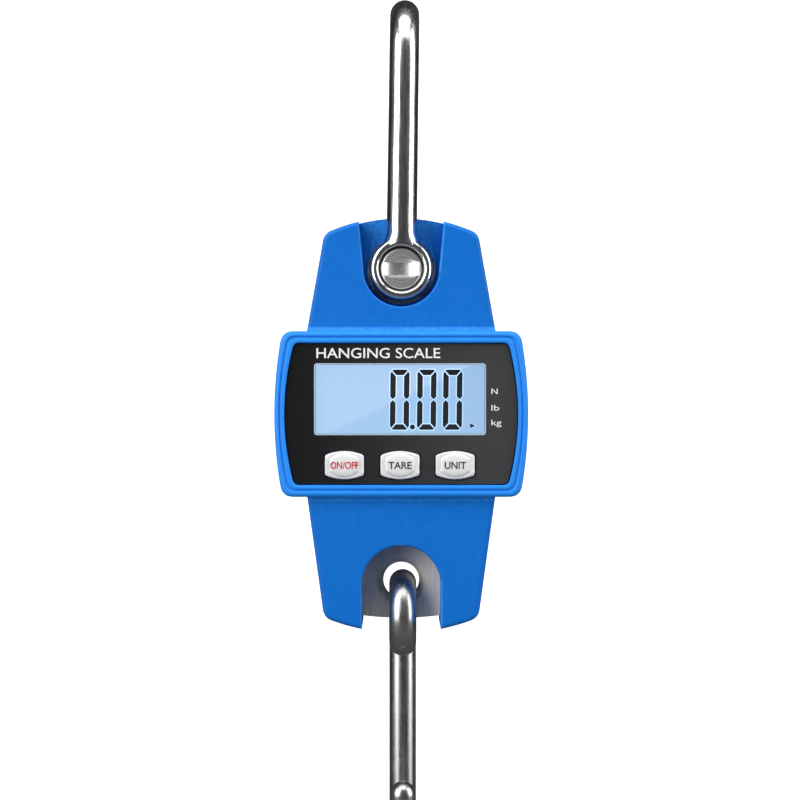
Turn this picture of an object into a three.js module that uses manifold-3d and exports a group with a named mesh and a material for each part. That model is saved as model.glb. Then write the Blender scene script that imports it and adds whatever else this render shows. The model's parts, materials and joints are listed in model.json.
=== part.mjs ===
// Hanging crane scale: two steel hooks, a load cell between them and a two-part casing round it.
// Millimetres. +X is the user's right, -Y is the front, +Z is up.
// The origin is the seat inside the upper hook's bowl, where the bar that carries the scale bears.
// The casing and all that is in it are drawn from the middle of the display block.

import * as THREE from 'three';
import { mergeVertices } from 'three/addons/utils/BufferGeometryUtils.js';
import Module from 'manifold-3d';

const wasm = await Module();
wasm.setup();

const { degToRad } = THREE.MathUtils;

// ---- driving dimensions -------------------------------------------------------------------------

const GAP = 0.3; // left between pieces that touch
const REACH = 200; // a cut that goes right through

// Casing, seen from the front.
const BLOCK = { half: 38.2, bulge: 2.7, halfTall: 26.6, corner: 3.6, edge: 2.2 };
const PANEL = { half: 34.4, bulge: 3.2, halfTall: 22.8, corner: 1.8 };
const UPPER = { shoulder: 30.4, end: 24.8, endZ: 58.1, crown: 5.7, corner: 2.2 };
const LOWER = { shoulder: 30.3, end: 24.9, endZ: 65.6, crown: 5.1, corner: 2.6 };
const WING_EDGE = 1.1;
const WALL = 2.2;
const GROOVE = { outer: 1.5, inner: 2.6, deep: 0.5 };

// Casing, front to back.
const BLOCK_FRONT = -18.5;
const BLOCK_REAR = 20;
const WING_FRONT = -16;
const WING_REAR = 16;
const PARTING = 0.15;
const INNER_FRONT = -13;
const INNER_REAR = 13;
const BLOCK_INNER_REAR = 17.6;

// Upper hook and its channel in the front cover.
const EYE_Z = 46.8;
const HANG_TO_EYE = 79.5;
const HOOK_LEAN = degToRad(0.8);
const SHANK_LEAN = degToRad(4.2);
const UPPER_ROD = 4.8;
const UPPER_BOWL = 16.45;
const UPPER_FLARE = degToRad(165);
const UPPER_TIP = 13;
const EYE = { radius: 10, front: -16, back: -6.4, pocket: 7.25, pocketFloor: -10.4, bore: 4.3 };
const CHANNEL = { end: 12.2, mouth: 13.8, mouthZ: 63, floor: -7.2, back: -5.6, wall: 1.8, eyeHole: 11 };

// Lower hook, its ring and the arch in the covers that it hangs through.
const RING_X = 0.5;
const RING_Z = -65.45;
const RING_RADIUS = 9.8;
const LOWER_ROD = 4.5;
const LOWER_BOWL = 16.8;
const LOWER_BOWL_DROP = 58.4;
const LOWER_FLARE = degToRad(-165);
const LOWER_TIP = 5.6;
const RING_HANG = degToRad(-6.67); // the empty hook settles with its weight under the ring
const ARCH = { radius: 12.7, centreZ: -55.1, wall: 1.8, slot: 3.7 };

// Load cell.
const CELL = { half: 13.5, top: 56.6, bottom: -66, thick: 5, thin: 3.3, stepZ: -37 };
const CELL_CORNER = { top: 9, bottom: 1.5, topBulge: 1.2, bottomBulge: 0.9 };
const CELL_HOLE = { radius: 5.85, centreZ: -54.6, chamfer: 2.3 };
const CELL_WINDOW = { radius: 4.6, offset: 5.6, slot: 2.2 };
const CELL_SCREW_Z = 26.5;
const CELL_SCREW_LONG = 15;
const CELL_PAD = 4;
const GAUGE = { thick: 0.5, halfDeep: 3, halfTall: 6 };
const GAUGE_CABLE = {
  radius: 0.9,
  route: [[-15.7, 0, 2], [-16.6, 0, 9], [-20, -1.4, 14], [-24, -3.4, 16.5], [-28, -4.8, 15]],
};

// Display stack, front face and back face of each layer.
const LENS = { front: -17.4, back: -15.9 };
const GASKET = { front: -15.6, back: -15.2, rim: 0.4 };
const POCKET_FLOOR = -14.9;
const WINDOW = { left: -27.6, right: 26.8, top: 15.9, bottom: -6.4 };
const LCD = { front: -14.6, back: -12.4, margin: 1 };
const BACKLIGHT = { front: -12.1, back: -8.2 };
const BOARD = { front: -7.9, back: -6.3, half: 33, halfTall: 21.4, corner: 2 };

// Buttons.
const BUTTON = { half: 6.25, side: 3.2, arch: 1.35, corner: 0.7, front: -18.9, edge: 0.6 };
const BUTTON_FLANGE = { grow: 1.1, front: -12.6, back: -11.4 };
const BUTTON_Z = -16.4;
const BUTTON_CLEARANCE = 0.35;
const CHIP_TALL = 1.5;
const CHIPS = [
  { name: 'weighing_chip', left: -26, right: -18, bottom: 6, top: 14 },
  { name: 'display_chip', left: 18, right: 27, bottom: -2, top: 7 },
];
const SWITCH = { half: 3, front: -10.1, back: -8.2, stem: 1.7, stemFront: -11.1, stemBack: -10.7 };
const BUTTONS = [
  { name: 'on_off', x: -18.2 },
  { name: 'tare', x: -0.4 },
  { name: 'unit', x: 17.3 },
];

// Bolt through the eye and the load cell.
const BOLT = { head: 6.65, rim: 0.5, headFront: -14.7, headBack: -10.7, shank: 4, end: 12.7, clear: 0.3 };
const BOLT_SLOT = { half: 2.1, deep: 1.6 };
const EYE_WASHER = { radius: 9, front: -6.1, back: -5.3 };
const SPRING_WASHER = { radius: 6.6, front: 5.3, back: 6.6, split: 0.5 };
const NUT = { acrossFlats: 13, front: 6.9, back: 12.4 };

// Battery bay in the rear cover.
const BATTERY = { radius: 5.2, length: 43.6, nub: 1.9, nubLong: 0.9, pitch: 10.9 };
const BAY = { half: 25.3, halfTall: 16.6, floor: 7, wall: 1.4 };
const CELL_CLEAR = 5.6; // back of the bay's floor, clear of the load cell
const DOOR = { half: 28.6, top: 18.6, bottom: -23.6, corner: 2.4, front: 18.4, rear: 19.9, edge: 0.4 };
const DOOR_CUP = { z: -20.6, radius: 4.1, front: 16.4, seat: 17.4, boss: 5.4, root: 0.7, screwLong: 5 };
const DOOR_PLAY = 0.35;
const CONTACT = { thick: 0.5, halfTall: 15.6, front: 8.4, rear: 16.4 };
const COIL = { wire: 0.35, radius: 2.3, taper: 0.35, turns: 3 };
const SUPPLY_LEAD = {
  radius: 0.8,
  route: [[27.9, 12.5, -8], [29, 7, -8], [29.3, 0, -7], [28.6, -4.8, -6]],
};

// Fasteners.
const SCREW = { head: 2.8, headTall: 2, shank: 1.4, hole: 1.75, boss: 3.5, cross: 0.9, crossDeep: 1 };
const COVER_SCREWS = [[-21.6, 40], [21.6, 40], [-21.6, -42], [21.6, -42]];
const COVER_SCREW = { seat: 8, long: 16, bossGrow: 1.2 };
const WELL = 3.3;
const BOARD_SCREW = { head: 2, shank: 1, headTall: 1.4, past: 3, post: 2.4, postHole: 1.3 };
const BOARD_SCREWS = [[-30, 18.4], [30, 18.4], [-30, -18.4], [30, -18.4]];

// ---- finishes -----------------------------------------------------------------------------------

const FINISH = {
  bluePlastic: { color: 0x146fd0, roughness: 0.42, metalness: 0 },
  blackAcrylic: { color: 0x151618, roughness: 0.08, metalness: 0 },
  blackFoam: { color: 0x0d0d0e, roughness: 0.9, metalness: 0 },
  whitePlastic: { color: 0xeceded, roughness: 0.35, metalness: 0 },
  lcdBlue: { color: 0xa9d0f8, roughness: 0.2, metalness: 0 },
  diffuser: { color: 0xdcecff, roughness: 0.5, metalness: 0 },
  greenBoard: { color: 0x1d5a38, roughness: 0.45, metalness: 0 },
  blackChip: { color: 0x1a1a1c, roughness: 0.6, metalness: 0 },
  steel: { color: 0xb4b5b7, roughness: 0.22, metalness: 1 },
  aluminium: { color: 0x9c9b98, roughness: 0.38, metalness: 1 },
  zinc: { color: 0xc4c6c8, roughness: 0.3, metalness: 1 },
  brass: { color: 0xb08d4a, roughness: 0.35, metalness: 1 },
  foil: { color: 0xc98a3c, roughness: 0.4, metalness: 0 },
  cable: { color: 0x8f9196, roughness: 0.6, metalness: 0 },
  batterySleeve: { color: 0x3c4a5c, roughness: 0.3, metalness: 0 },
};

// ---- solids -------------------------------------------------------------------------------------

function solidOf(geometry) {
  const bare = geometry.clone();
  bare.deleteAttribute('normal');
  bare.deleteAttribute('uv');
  const merged = mergeVertices(bare, 1e-4);
  const mesh = new wasm.Mesh({
    numProp: 3,
    vertProperties: Float32Array.from(merged.attributes.position.array),
    triVerts: Uint32Array.from(merged.index.array),
  });
  return new wasm.Manifold(mesh);
}

function geometryOf(solid) {
  const mesh = solid.getMesh();
  const geometry = new THREE.BufferGeometry();
  geometry.setAttribute('position', new THREE.BufferAttribute(mesh.vertProperties, 3));
  geometry.setIndex(new THREE.BufferAttribute(mesh.triVerts, 1));
  return geometry;
}

function joined(solids) {
  return solids.reduce((all, solid) => all.add(solid));
}

function cutBy(solid, cutters) {
  return cutters.reduce((left, cutter) => left.subtract(cutter), solid);
}

// ---- outlines, drawn as seen from the front: x across, y up --------------------------------------

// A point or a control point of the quadratic curve from a to b through the control c.
function blossom(a, c, b, s, t) {
  return a.clone().multiplyScalar((1 - s) * (1 - t))
    .addScaledVector(c, s * (1 - t) + t * (1 - s))
    .addScaledVector(b, s * t);
}

// One edge of an outline, from the end of its first corner to the start of its second.
function edgeOf([ax, ay, fromRadius, bulge = 0], [bx, by, toRadius]) {
  const a = new THREE.Vector2(ax, ay);
  const b = new THREE.Vector2(bx, by);
  const along = b.clone().sub(a);
  const outward = new THREE.Vector2(along.y, -along.x).normalize();
  const control = a.clone().add(b).multiplyScalar(0.5).addScaledVector(outward, 2 * bulge);
  const s = fromRadius / along.length();
  const t = 1 - toRadius / along.length();
  return {
    bulge,
    start: blossom(a, control, b, s, s),
    middle: blossom(a, control, b, s, t),
    end: blossom(a, control, b, t, t),
  };
}

// Corners are [x, y, radius, bulge of the edge that follows]; they run anticlockwise.
function outline(corners) {
  const edges = corners.map((corner, i) => edgeOf(corner, corners[(i + 1) % corners.length]));
  const shape = new THREE.Shape();
  shape.moveTo(edges[0].start.x, edges[0].start.y);
  edges.forEach(({ bulge, middle, end }, i) => {
    const next = (i + 1) % corners.length;
    const [cornerX, cornerY, radius] = corners[next];
    if (bulge === 0) {
      shape.lineTo(end.x, end.y);
    } else {
      shape.quadraticCurveTo(middle.x, middle.y, end.x, end.y);
    }
    if (radius > 0) {
      shape.quadraticCurveTo(cornerX, cornerY, edges[next].start.x, edges[next].start.y);
    }
  });
  return shape;
}

// A rectangle whose two upright sides bow out.
function bowedOutline({ half, bulge, halfTall, corner }, inset = 0) {
  const x = half - inset;
  const y = halfTall - inset;
  const radius = Math.max(corner - inset, 0.6);
  return outline([
    [-x, -y, radius, 0],
    [x, -y, radius, bulge],
    [x, y, radius, 0],
    [-x, y, radius, bulge],
  ]);
}

function rectangle(left, bottom, right, top, radius = 0) {
  return outline([
    [left, bottom, radius],
    [right, bottom, radius],
    [right, top, radius],
    [left, top, radius],
  ]);
}

// The tapering wing above the display block, and with up = -1 the one below it.
function wingOutline({ shoulder, end, endZ, crown, corner }, up, inset = 0) {
  const x = shoulder - inset;
  const xEnd = end - inset;
  const z = endZ - inset;
  const radius = Math.max(corner - inset, 0.6);
  const upper = [
    [-x, 0, 0],
    [x, 0, 0],
    [x, BLOCK.halfTall, 0],
    [xEnd, z, radius, crown],
    [-xEnd, z, radius],
    [-x, BLOCK.halfTall, 0],
  ];
  if (up > 0) {
    return outline(upper);
  }
  return outline([
    [-x, -BLOCK.halfTall, 0],
    [-xEnd, -z, radius, crown],
    [xEnd, -z, radius],
    [x, -BLOCK.halfTall, 0],
    [x, 0, 0],
    [-x, 0, 0],
  ]);
}

// The channel that the upper hook's shank swings in: round at the eye, flaring upwards.
function channelOutline(grow) {
  const shape = new THREE.Shape();
  const end = CHANNEL.end + grow;
  const flare = (CHANNEL.mouth - CHANNEL.end) / (CHANNEL.mouthZ - EYE_Z);
  const top = EYE_Z + 30;
  const mouth = end + flare * (top - EYE_Z);
  shape.moveTo(mouth, top);
  shape.lineTo(-mouth, top);
  shape.lineTo(-end, EYE_Z);
  shape.absarc(0, EYE_Z, end, Math.PI, 2 * Math.PI, false);
  shape.lineTo(mouth, top);
  return shape;
}

// The arch in the lower edge, open downwards.
function archOutline(grow) {
  const shape = new THREE.Shape();
  const radius = ARCH.radius + grow;
  const foot = ARCH.centreZ - 40;
  shape.moveTo(-radius, foot);
  shape.lineTo(radius, foot);
  shape.lineTo(radius, ARCH.centreZ);
  shape.absarc(0, ARCH.centreZ, radius, 0, Math.PI, false);
  shape.lineTo(-radius, foot);
  return shape;
}

function buttonOutline(x, z, grow) {
  const { half, side, arch, corner } = BUTTON;
  return outline([
    [x - half - grow, z - side - grow, corner, arch],
    [x + half + grow, z - side - grow, corner],
    [x + half + grow, z + side + grow, corner, arch],
    [x - half - grow, z + side + grow, corner],
  ]);
}

// ---- building blocks ----------------------------------------------------------------------------

// An outline pushed from its back face to its front face, with an optional eased edge at both.
function slab(shape, front, back, { segments = 5, edge = 0, rounds = 1 } = {}) {
  const geometry = new THREE.ExtrudeGeometry(shape, {
    depth: back - front - 2 * edge,
    curveSegments: segments,
    bevelEnabled: edge > 0,
    bevelThickness: edge,
    bevelSize: edge,
    bevelOffset: -edge,
    bevelSegments: rounds,
  });
  geometry.rotateX(Math.PI / 2);
  geometry.translate(0, back - edge, 0);
  return solidOf(geometry);
}

function block(left, right, front, back, bottom, top) {
  const geometry = new THREE.BoxGeometry(right - left, back - front, top - bottom);
  geometry.translate((left + right) / 2, (front + back) / 2, (bottom + top) / 2);
  return solidOf(geometry);
}

// A round bar or hole along Y.
function disc(radius, x, z, front, back, sides = 24) {
  const geometry = new THREE.CylinderGeometry(radius, radius, back - front, sides);
  geometry.translate(x, (front + back) / 2, z);
  return solidOf(geometry);
}

// A cone frustum along Y.
function frustum(frontRadius, backRadius, x, z, front, back, sides = 24) {
  const geometry = new THREE.CylinderGeometry(backRadius, frontRadius, back - front, sides);
  geometry.translate(x, (front + back) / 2, z);
  return solidOf(geometry);
}

// A lying cylinder along X.
function barX(radius, centreY, centreZ, left, right, sides = 20) {
  const geometry = new THREE.CylinderGeometry(radius, radius, right - left, sides);
  geometry.rotateZ(Math.PI / 2);
  geometry.translate((left + right) / 2, centreY, centreZ);
  return solidOf(geometry);
}

// An arc in the YZ plane; angles are measured from +Y towards +Z.
class SideArc extends THREE.Curve {
  constructor(centreZ, radius, from, to) {
    super();
    Object.assign(this, { centreZ, radius, from, to });
  }

  getPoint(t, target = new THREE.Vector3()) {
    const angle = this.from + (this.to - this.from) * t;
    return target.set(0, this.radius * Math.cos(angle), this.centreZ + this.radius * Math.sin(angle));
  }
}

// A round rod swept along a path.
function rod(path, radius, steps, sides) {
  const section = new THREE.Shape().absarc(0, 0, radius, 0, 2 * Math.PI, false);
  const geometry = new THREE.ExtrudeGeometry(section, {
    steps,
    extrudePath: path,
    curveSegments: sides / 2,
    bevelEnabled: false,
  });
  return solidOf(geometry);
}

function ball(radius, centre) {
  const geometry = new THREE.SphereGeometry(radius, 14, 8);
  geometry.translate(centre.x, centre.y, centre.z);
  return solidOf(geometry);
}

// A straight piece of a path, starting where the arc before it ends and keeping its direction.
function straightOn(arc, length) {
  const start = arc.getPoint(1);
  const end = start.clone().addScaledVector(arc.getTangent(1), length);
  return new THREE.LineCurve3(start, end);
}

function pathOf(...curves) {
  const path = new THREE.CurvePath();
  curves.forEach((curve) => path.add(curve));
  return path;
}

// ---- hooks --------------------------------------------------------------------------------------

// Drawn from its seat. The shank rises in front and leans forward; the bowl bends over to the rear.
function upperHook() {
  const centreZ = UPPER_ROD - UPPER_BOWL;
  const bowl = new SideArc(centreZ, UPPER_BOWL, Math.PI + SHANK_LEAN, Math.PI - UPPER_FLARE);
  const foot = bowl.getPoint(0);
  const shankLength = (foot.z + HANG_TO_EYE) / Math.cos(SHANK_LEAN);
  const root = foot.clone().addScaledVector(bowl.getTangent(0), -shankLength);
  const tip = straightOn(bowl, UPPER_TIP);
  const bar = rod(pathOf(new THREE.LineCurve3(root, foot), bowl, tip), UPPER_ROD, 34, 16);
  const eye = disc(EYE.radius, 0, -HANG_TO_EYE, EYE.front, EYE.back, 28);
  const whole = joined([bar, ball(UPPER_ROD, tip.getPoint(1)), eye]);
  return cutBy(whole, [
    disc(EYE.pocket, 0, -HANG_TO_EYE, -REACH, EYE.pocketFloor, 24),
    disc(EYE.bore, 0, -HANG_TO_EYE, -REACH, REACH, 16),
    disc(EYE.radius + 4, 0, -HANG_TO_EYE, EYE.back, 0, 24),
  ]);
}

// Drawn from the ring's centre. The shank runs down behind, the point comes up in front.
function lowerHook() {
  const ring = new THREE.TorusGeometry(RING_RADIUS, LOWER_ROD, 12, 28);
  ring.rotateY(Math.PI / 2);
  const tangentAngle = Math.asin((LOWER_BOWL - RING_RADIUS) / LOWER_BOWL_DROP);
  const leave = new SideArc(0, RING_RADIUS, tangentAngle + degToRad(14), tangentAngle);
  const bowl = new SideArc(-LOWER_BOWL_DROP, LOWER_BOWL, tangentAngle, LOWER_FLARE);
  const shank = new THREE.LineCurve3(leave.getPoint(1), bowl.getPoint(0));
  const tip = straightOn(bowl, LOWER_TIP);
  const bar = rod(pathOf(leave, shank, bowl, tip), LOWER_ROD, 28, 12);
  return joined([solidOf(ring), bar, ball(LOWER_ROD, tip.getPoint(1))]);
}

// ---- casing -------------------------------------------------------------------------------------

function casingBlank() {
  const blockSolid = slab(bowedOutline(BLOCK), BLOCK_FRONT, BLOCK_REAR, { edge: BLOCK.edge, rounds: 2 });
  const wings = [[UPPER, 1], [LOWER, -1]].map(([wing, up]) => (
    slab(wingOutline(wing, up), WING_FRONT, WING_REAR, { edge: WING_EDGE, rounds: 1, segments: 6 })
  ));
  return joined([blockSolid, ...wings]);
}

// The hollow of one half, front or rear, with the walls of the channel and the arch left standing.
function hollow(front, back, keeps) {
  const wings = [[UPPER, 1], [LOWER, -1]].map(([wing, up]) => (
    slab(wingOutline(wing, up, WALL), front, back)
  ));
  const middle = slab(bowedOutline(BLOCK, WALL), front, back);
  return cutBy(joined([middle, ...wings]), keeps);
}

function frontCover() {
  const half = casingBlank().intersect(block(-REACH, REACH, -REACH, -PARTING, -REACH, REACH));
  const channelWalls = slab(channelOutline(CHANNEL.wall), -REACH, CHANNEL.back);
  const archWalls = slab(archOutline(ARCH.wall), -REACH, -ARCH.slot);
  const bosses = COVER_SCREWS.map(([x, z]) => disc(SCREW.boss, x, z, INNER_FRONT - 1, -PARTING, 12));
  const posts = BOARD_SCREWS.map(([x, z]) => (
    disc(BOARD_SCREW.post, x, z, INNER_FRONT - 1, BOARD.front - GAP, 8)
  ));
  const shell = half.subtract(hollow(INNER_FRONT, 1, [channelWalls, archWalls, ...bosses, ...posts]));
  const groove = slab(bowedOutline(BLOCK, GROOVE.outer), -REACH, BLOCK_FRONT + GROOVE.deep)
    .subtract(slab(bowedOutline(BLOCK, GROOVE.inner), -REACH, REACH));
  const glass = rectangle(
    WINDOW.left - LCD.margin - GAP,
    WINDOW.bottom - LCD.margin - GAP,
    WINDOW.right + LCD.margin + GAP,
    WINDOW.top + LCD.margin + GAP,
  );
  return cutBy(shell, [
    groove,
    slab(channelOutline(0), -REACH, CHANNEL.floor, { segments: 8 }),
    disc(CHANNEL.eyeHole, 0, EYE_Z, -REACH, -1, 28),
    slab(archOutline(0), -REACH, REACH, { segments: 10 }),
    slab(bowedOutline(PANEL), -REACH, POCKET_FLOOR),
    slab(glass, -REACH, REACH),
    ...BUTTONS.map(({ x }) => slab(buttonOutline(x, BUTTON_Z, BUTTON_CLEARANCE), -REACH, REACH)),
    ...COVER_SCREWS.map(([x, z]) => disc(SCREW.hole, x, z, INNER_FRONT + 2, REACH, 8)),
    ...BOARD_SCREWS.map(([x, z]) => disc(BOARD_SCREW.postHole, x, z, INNER_FRONT + 1, REACH, 8)),
  ]);
}

function rearCover() {
  const half = casingBlank().intersect(block(-REACH, REACH, PARTING, REACH, -REACH, REACH));
  const archWalls = slab(archOutline(ARCH.wall), ARCH.slot, REACH);
  const bosses = COVER_SCREWS.map(([x, z]) => (
    disc(SCREW.boss + COVER_SCREW.bossGrow, x, z, PARTING, WING_REAR, 14)
  ));
  const cellPads = [-CELL_SCREW_Z, CELL_SCREW_Z].map((z) => (
    disc(CELL_PAD, 0, z, CELL.thick + GAP, INNER_REAR + 1, 16)
  ));
  const bayOuter = block(
    -BAY.half - BAY.wall,
    BAY.half + BAY.wall,
    CELL_CLEAR,
    BLOCK_REAR,
    -BAY.halfTall - BAY.wall,
    BAY.halfTall + BAY.wall,
  );
  const doorBoss = disc(DOOR_CUP.boss, 0, DOOR_CUP.z, INNER_REAR - 3, BLOCK_REAR, 16);
  const keeps = [archWalls, bayOuter, doorBoss, ...bosses, ...cellPads];
  const back = hollow(-1, INNER_REAR, keeps);
  const blockBack = cutBy(slab(bowedOutline(BLOCK, WALL), INNER_REAR - 1, BLOCK_INNER_REAR), keeps);
  const lid = rectangle(
    -DOOR.half - DOOR_PLAY,
    DOOR.bottom - DOOR_PLAY,
    DOOR.half + DOOR_PLAY,
    DOOR.top + DOOR_PLAY,
    DOOR.corner,
  );
  return cutBy(half, [
    back,
    blockBack,
    slab(archOutline(0), -REACH, REACH, { segments: 10 }),
    block(-BAY.half, BAY.half, BAY.floor, REACH, -BAY.halfTall, BAY.halfTall),
    slab(lid, DOOR.front - GAP, REACH),
    disc(SCREW.hole, 0, DOOR_CUP.z, INNER_REAR - 1.5, REACH, 8),
    disc(DOOR_CUP.radius + DOOR_PLAY, 0, DOOR_CUP.z, DOOR_CUP.front - DOOR_PLAY, REACH, 16),
    ...COVER_SCREWS.map(([x, z]) => disc(SCREW.hole, x, z, -REACH, REACH, 8)),
    ...COVER_SCREWS.map(([x, z]) => disc(WELL, x, z, COVER_SCREW.seat, REACH, 14)),
    ...[-CELL_SCREW_Z, CELL_SCREW_Z].map((z) => disc(SCREW.hole, 0, z, 0, INNER_REAR - 1, 12)),
  ]);
}

// ---- display ------------------------------------------------------------------------------------

function buttonHoles(grow) {
  return BUTTONS.map(({ x }) => slab(buttonOutline(x, BUTTON_Z, grow), -REACH, REACH));
}

function displayLens() {
  const plate = slab(bowedOutline(PANEL, GAP), LENS.front, LENS.back);
  return cutBy(plate, buttonHoles(BUTTON_CLEARANCE));
}

function lensGasket() {
  const plate = slab(bowedOutline(PANEL, GASKET.rim), GASKET.front, GASKET.back, { segments: 3 });
  const opening = rectangle(WINDOW.left, WINDOW.bottom, WINDOW.right, WINDOW.top, 0.9);
  return cutBy(plate, [slab(opening, -REACH, REACH), ...buttonHoles(BUTTON_CLEARANCE + GAP)]);
}

function lcdLayer(layer, grow) {
  return block(
    WINDOW.left - grow,
    WINDOW.right + grow,
    layer.front,
    layer.back,
    WINDOW.bottom - grow,
    WINDOW.top + grow,
  );
}

function mainBoard() {
  const plate = slab(
    rectangle(-BOARD.half, -BOARD.halfTall, BOARD.half, BOARD.halfTall, BOARD.corner),
    BOARD.front,
    BOARD.back,
    { segments: 3 },
  );
  return cutBy(plate, BOARD_SCREWS.map(([x, z]) => disc(SCREW.hole, x, z, -REACH, REACH, 12)));
}

function button(x) {
  const cap = slab(
    buttonOutline(x, BUTTON_Z, 0),
    BUTTON.front,
    BUTTON_FLANGE.back - BUTTON.edge,
    { edge: BUTTON.edge, rounds: 1, segments: 3 },
  );
  const { grow, front, back } = BUTTON_FLANGE;
  return cap.add(slab(buttonOutline(x, BUTTON_Z, grow), front, back, { segments: 2 }));
}

// ---- load cell and bolt -------------------------------------------------------------------------

function loadCell() {
  const { half, top, bottom, thick, thin, stepZ } = CELL;
  const corner = CELL_CORNER;
  const shape = outline([
    [-half, bottom, corner.bottom, corner.bottomBulge],
    [half, bottom, corner.bottom],
    [half, top, corner.top, corner.topBulge],
    [-half, top, corner.top],
  ]);
  const bar = slab(shape, -thick, thick);
  const { radius, centreZ, chamfer } = CELL_HOLE;
  const { offset, slot } = CELL_WINDOW;
  const over = 0.5; // each chamfer cutter starts outside and ends inside the metal
  const wide = radius + chamfer + over;
  const narrow = radius - over;
  const rims = [
    frustum(wide, narrow, 0, centreZ, -thin - over, -thin + chamfer + over, 32),
    frustum(narrow, wide, 0, centreZ, thin - chamfer - over, thin + over, 32),
  ];
  return cutBy(bar, [
    block(-REACH, REACH, -REACH, -thin, bottom - 5, stepZ),
    block(-REACH, REACH, thin, REACH, bottom - 5, stepZ),
    disc(radius, 0, centreZ, -REACH, REACH, 32),
    ...rims,
    disc(BOLT.shank + BOLT.clear, 0, EYE_Z, -REACH, REACH, 24),
    disc(CELL_WINDOW.radius, -offset, 0, -REACH, REACH, 24),
    disc(CELL_WINDOW.radius, offset, 0, -REACH, REACH, 24),
    block(-offset, offset, -REACH, REACH, -slot / 2, slot / 2),
    disc(SCREW.hole, 0, CELL_SCREW_Z, -REACH, REACH, 12),
    disc(SCREW.hole, 0, -CELL_SCREW_Z, -REACH, REACH, 12),
  ]);
}

function hookBolt() {
  const { head, rim, headFront, headBack, shank, end } = BOLT;
  const { half, deep } = BOLT_SLOT;
  const whole = joined([
    frustum(head - rim, head, 0, EYE_Z, headFront, headFront + rim, 32),
    disc(head, 0, EYE_Z, headFront + rim / 2, headBack, 32),
    disc(shank, 0, EYE_Z, headBack - 1, end, 24),
  ]);
  return whole.subtract(block(-REACH, REACH, -REACH, headFront + deep, EYE_Z - half, EYE_Z + half));
}

function washer(radius, front, back) {
  const bore = disc(BOLT.shank + BOLT.clear, 0, EYE_Z, -REACH, REACH, 24);
  return disc(radius, 0, EYE_Z, front, back, 28).subtract(bore);
}

// A split washer is cut through on one side.
function springWasher() {
  const { radius, front, back, split } = SPRING_WASHER;
  const cut = block(0, radius + 1, -REACH, REACH, EYE_Z - split, EYE_Z + split);
  return washer(radius, front, back).subtract(cut);
}

function boltNut() {
  const corner = NUT.acrossFlats / Math.sqrt(3);
  const hex = disc(corner, 0, EYE_Z, NUT.front, NUT.back, 6);
  return hex.subtract(disc(BOLT.shank + BOLT.clear, 0, EYE_Z, -REACH, REACH, 24));
}

// ---- fasteners and batteries --------------------------------------------------------------------

// A cross-head screw along Y. toRear is true where the head faces the rear.
function crossScrew(x, z, seat, length, toRear) {
  const { head, headTall, shank, cross, crossDeep } = SCREW;
  const out = toRear ? 1 : -1;
  const under = seat + out * GAP;
  const top = under + out * headTall;
  const point = seat - out * length;
  const inHead = under + out * GAP;
  const body = joined([
    disc(head, x, z, Math.min(under, top), Math.max(under, top), 16),
    disc(shank, x, z, Math.min(inHead, point), Math.max(inHead, point), 10),
  ]);
  const near = Math.min(top + out, top - out * crossDeep);
  const far = Math.max(top + out, top - out * crossDeep);
  const arm = head * 0.62;
  const half = cross / 2;
  return cutBy(body, [
    block(x - arm, x + arm, near, far, z - half, z + half),
    block(x - half, x + half, near, far, z - arm, z + arm),
  ]);
}

// A cell lies along X with its raised end against the strip on the side it faces, +1 or -1.
function cellEnds(side) {
  const raised = side * (BAY.half - 2 * GAP - CONTACT.thick);
  const shoulder = raised - side * BATTERY.nubLong;
  return { raised, shoulder, flat: shoulder - side * BATTERY.length };
}

function battery(z, side) {
  const centreY = BAY.floor + GAP + BATTERY.radius;
  const { raised, shoulder, flat } = cellEnds(side);
  const nub = barX(BATTERY.nub, centreY, z, Math.min(0, raised), Math.max(0, raised), 10);
  const left = Math.min(shoulder, flat);
  const right = Math.max(shoulder, flat);
  return barX(BATTERY.radius, centreY, z, left, right, 20).add(nub);
}

// The metal strip at each end of the bay.
function contactStrip(side) {
  const outer = side * (BAY.half - GAP);
  const inner = outer - side * CONTACT.thick;
  const { front, rear, halfTall } = CONTACT;
  return block(Math.min(outer, inner), Math.max(outer, inner), front, rear, -halfTall, halfTall);
}

class Helix extends THREE.Curve {
  constructor(radius, turns, startX, endX, centreY, centreZ) {
    super();
    Object.assign(this, { radius, turns, startX, endX, centreY, centreZ });
  }

  getPoint(t, target = new THREE.Vector3()) {
    const angle = 2 * Math.PI * this.turns * t;
    const radius = this.radius * (1 - COIL.taper * t);
    return target.set(
      this.startX + (this.endX - this.startX) * t,
      this.centreY + radius * Math.cos(angle),
      this.centreZ + radius * Math.sin(angle),
    );
  }
}

// The coil that pushes on a battery's flat end; side is the way that its raised end faces.
function contactCoil(z, side) {
  const start = -side * (BAY.half - 2 * GAP - CONTACT.thick - COIL.wire);
  const end = cellEnds(side).flat - side * (GAP + COIL.wire);
  const centreY = BAY.floor + GAP + BATTERY.radius;
  const wire = new Helix(COIL.radius, COIL.turns, start, end, centreY, z);
  return rod(wire, COIL.wire, 24, 4);
}

function batteryDoor() {
  const { half, top, bottom, corner, front, rear, edge } = DOOR;
  const plate = slab(rectangle(-half, bottom, half, top, corner), front, rear, { edge, segments: 3 });
  const cup = disc(DOOR_CUP.radius, 0, DOOR_CUP.z, DOOR_CUP.front, front + DOOR_CUP.root, 16);
  return cutBy(plate.add(cup), [
    disc(SCREW.hole, 0, DOOR_CUP.z, -REACH, REACH, 8),
    disc(WELL, 0, DOOR_CUP.z, DOOR_CUP.seat, REACH, 14),
  ]);
}

// A cable along its route; side = -1 mirrors it to the left.
function sweptCable({ route, radius }, side = 1) {
  const path = new THREE.CatmullRomCurve3(route.map(([x, y, z]) => new THREE.Vector3(side * x, y, z)));
  return rod(path, radius, 10, 8);
}

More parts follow.
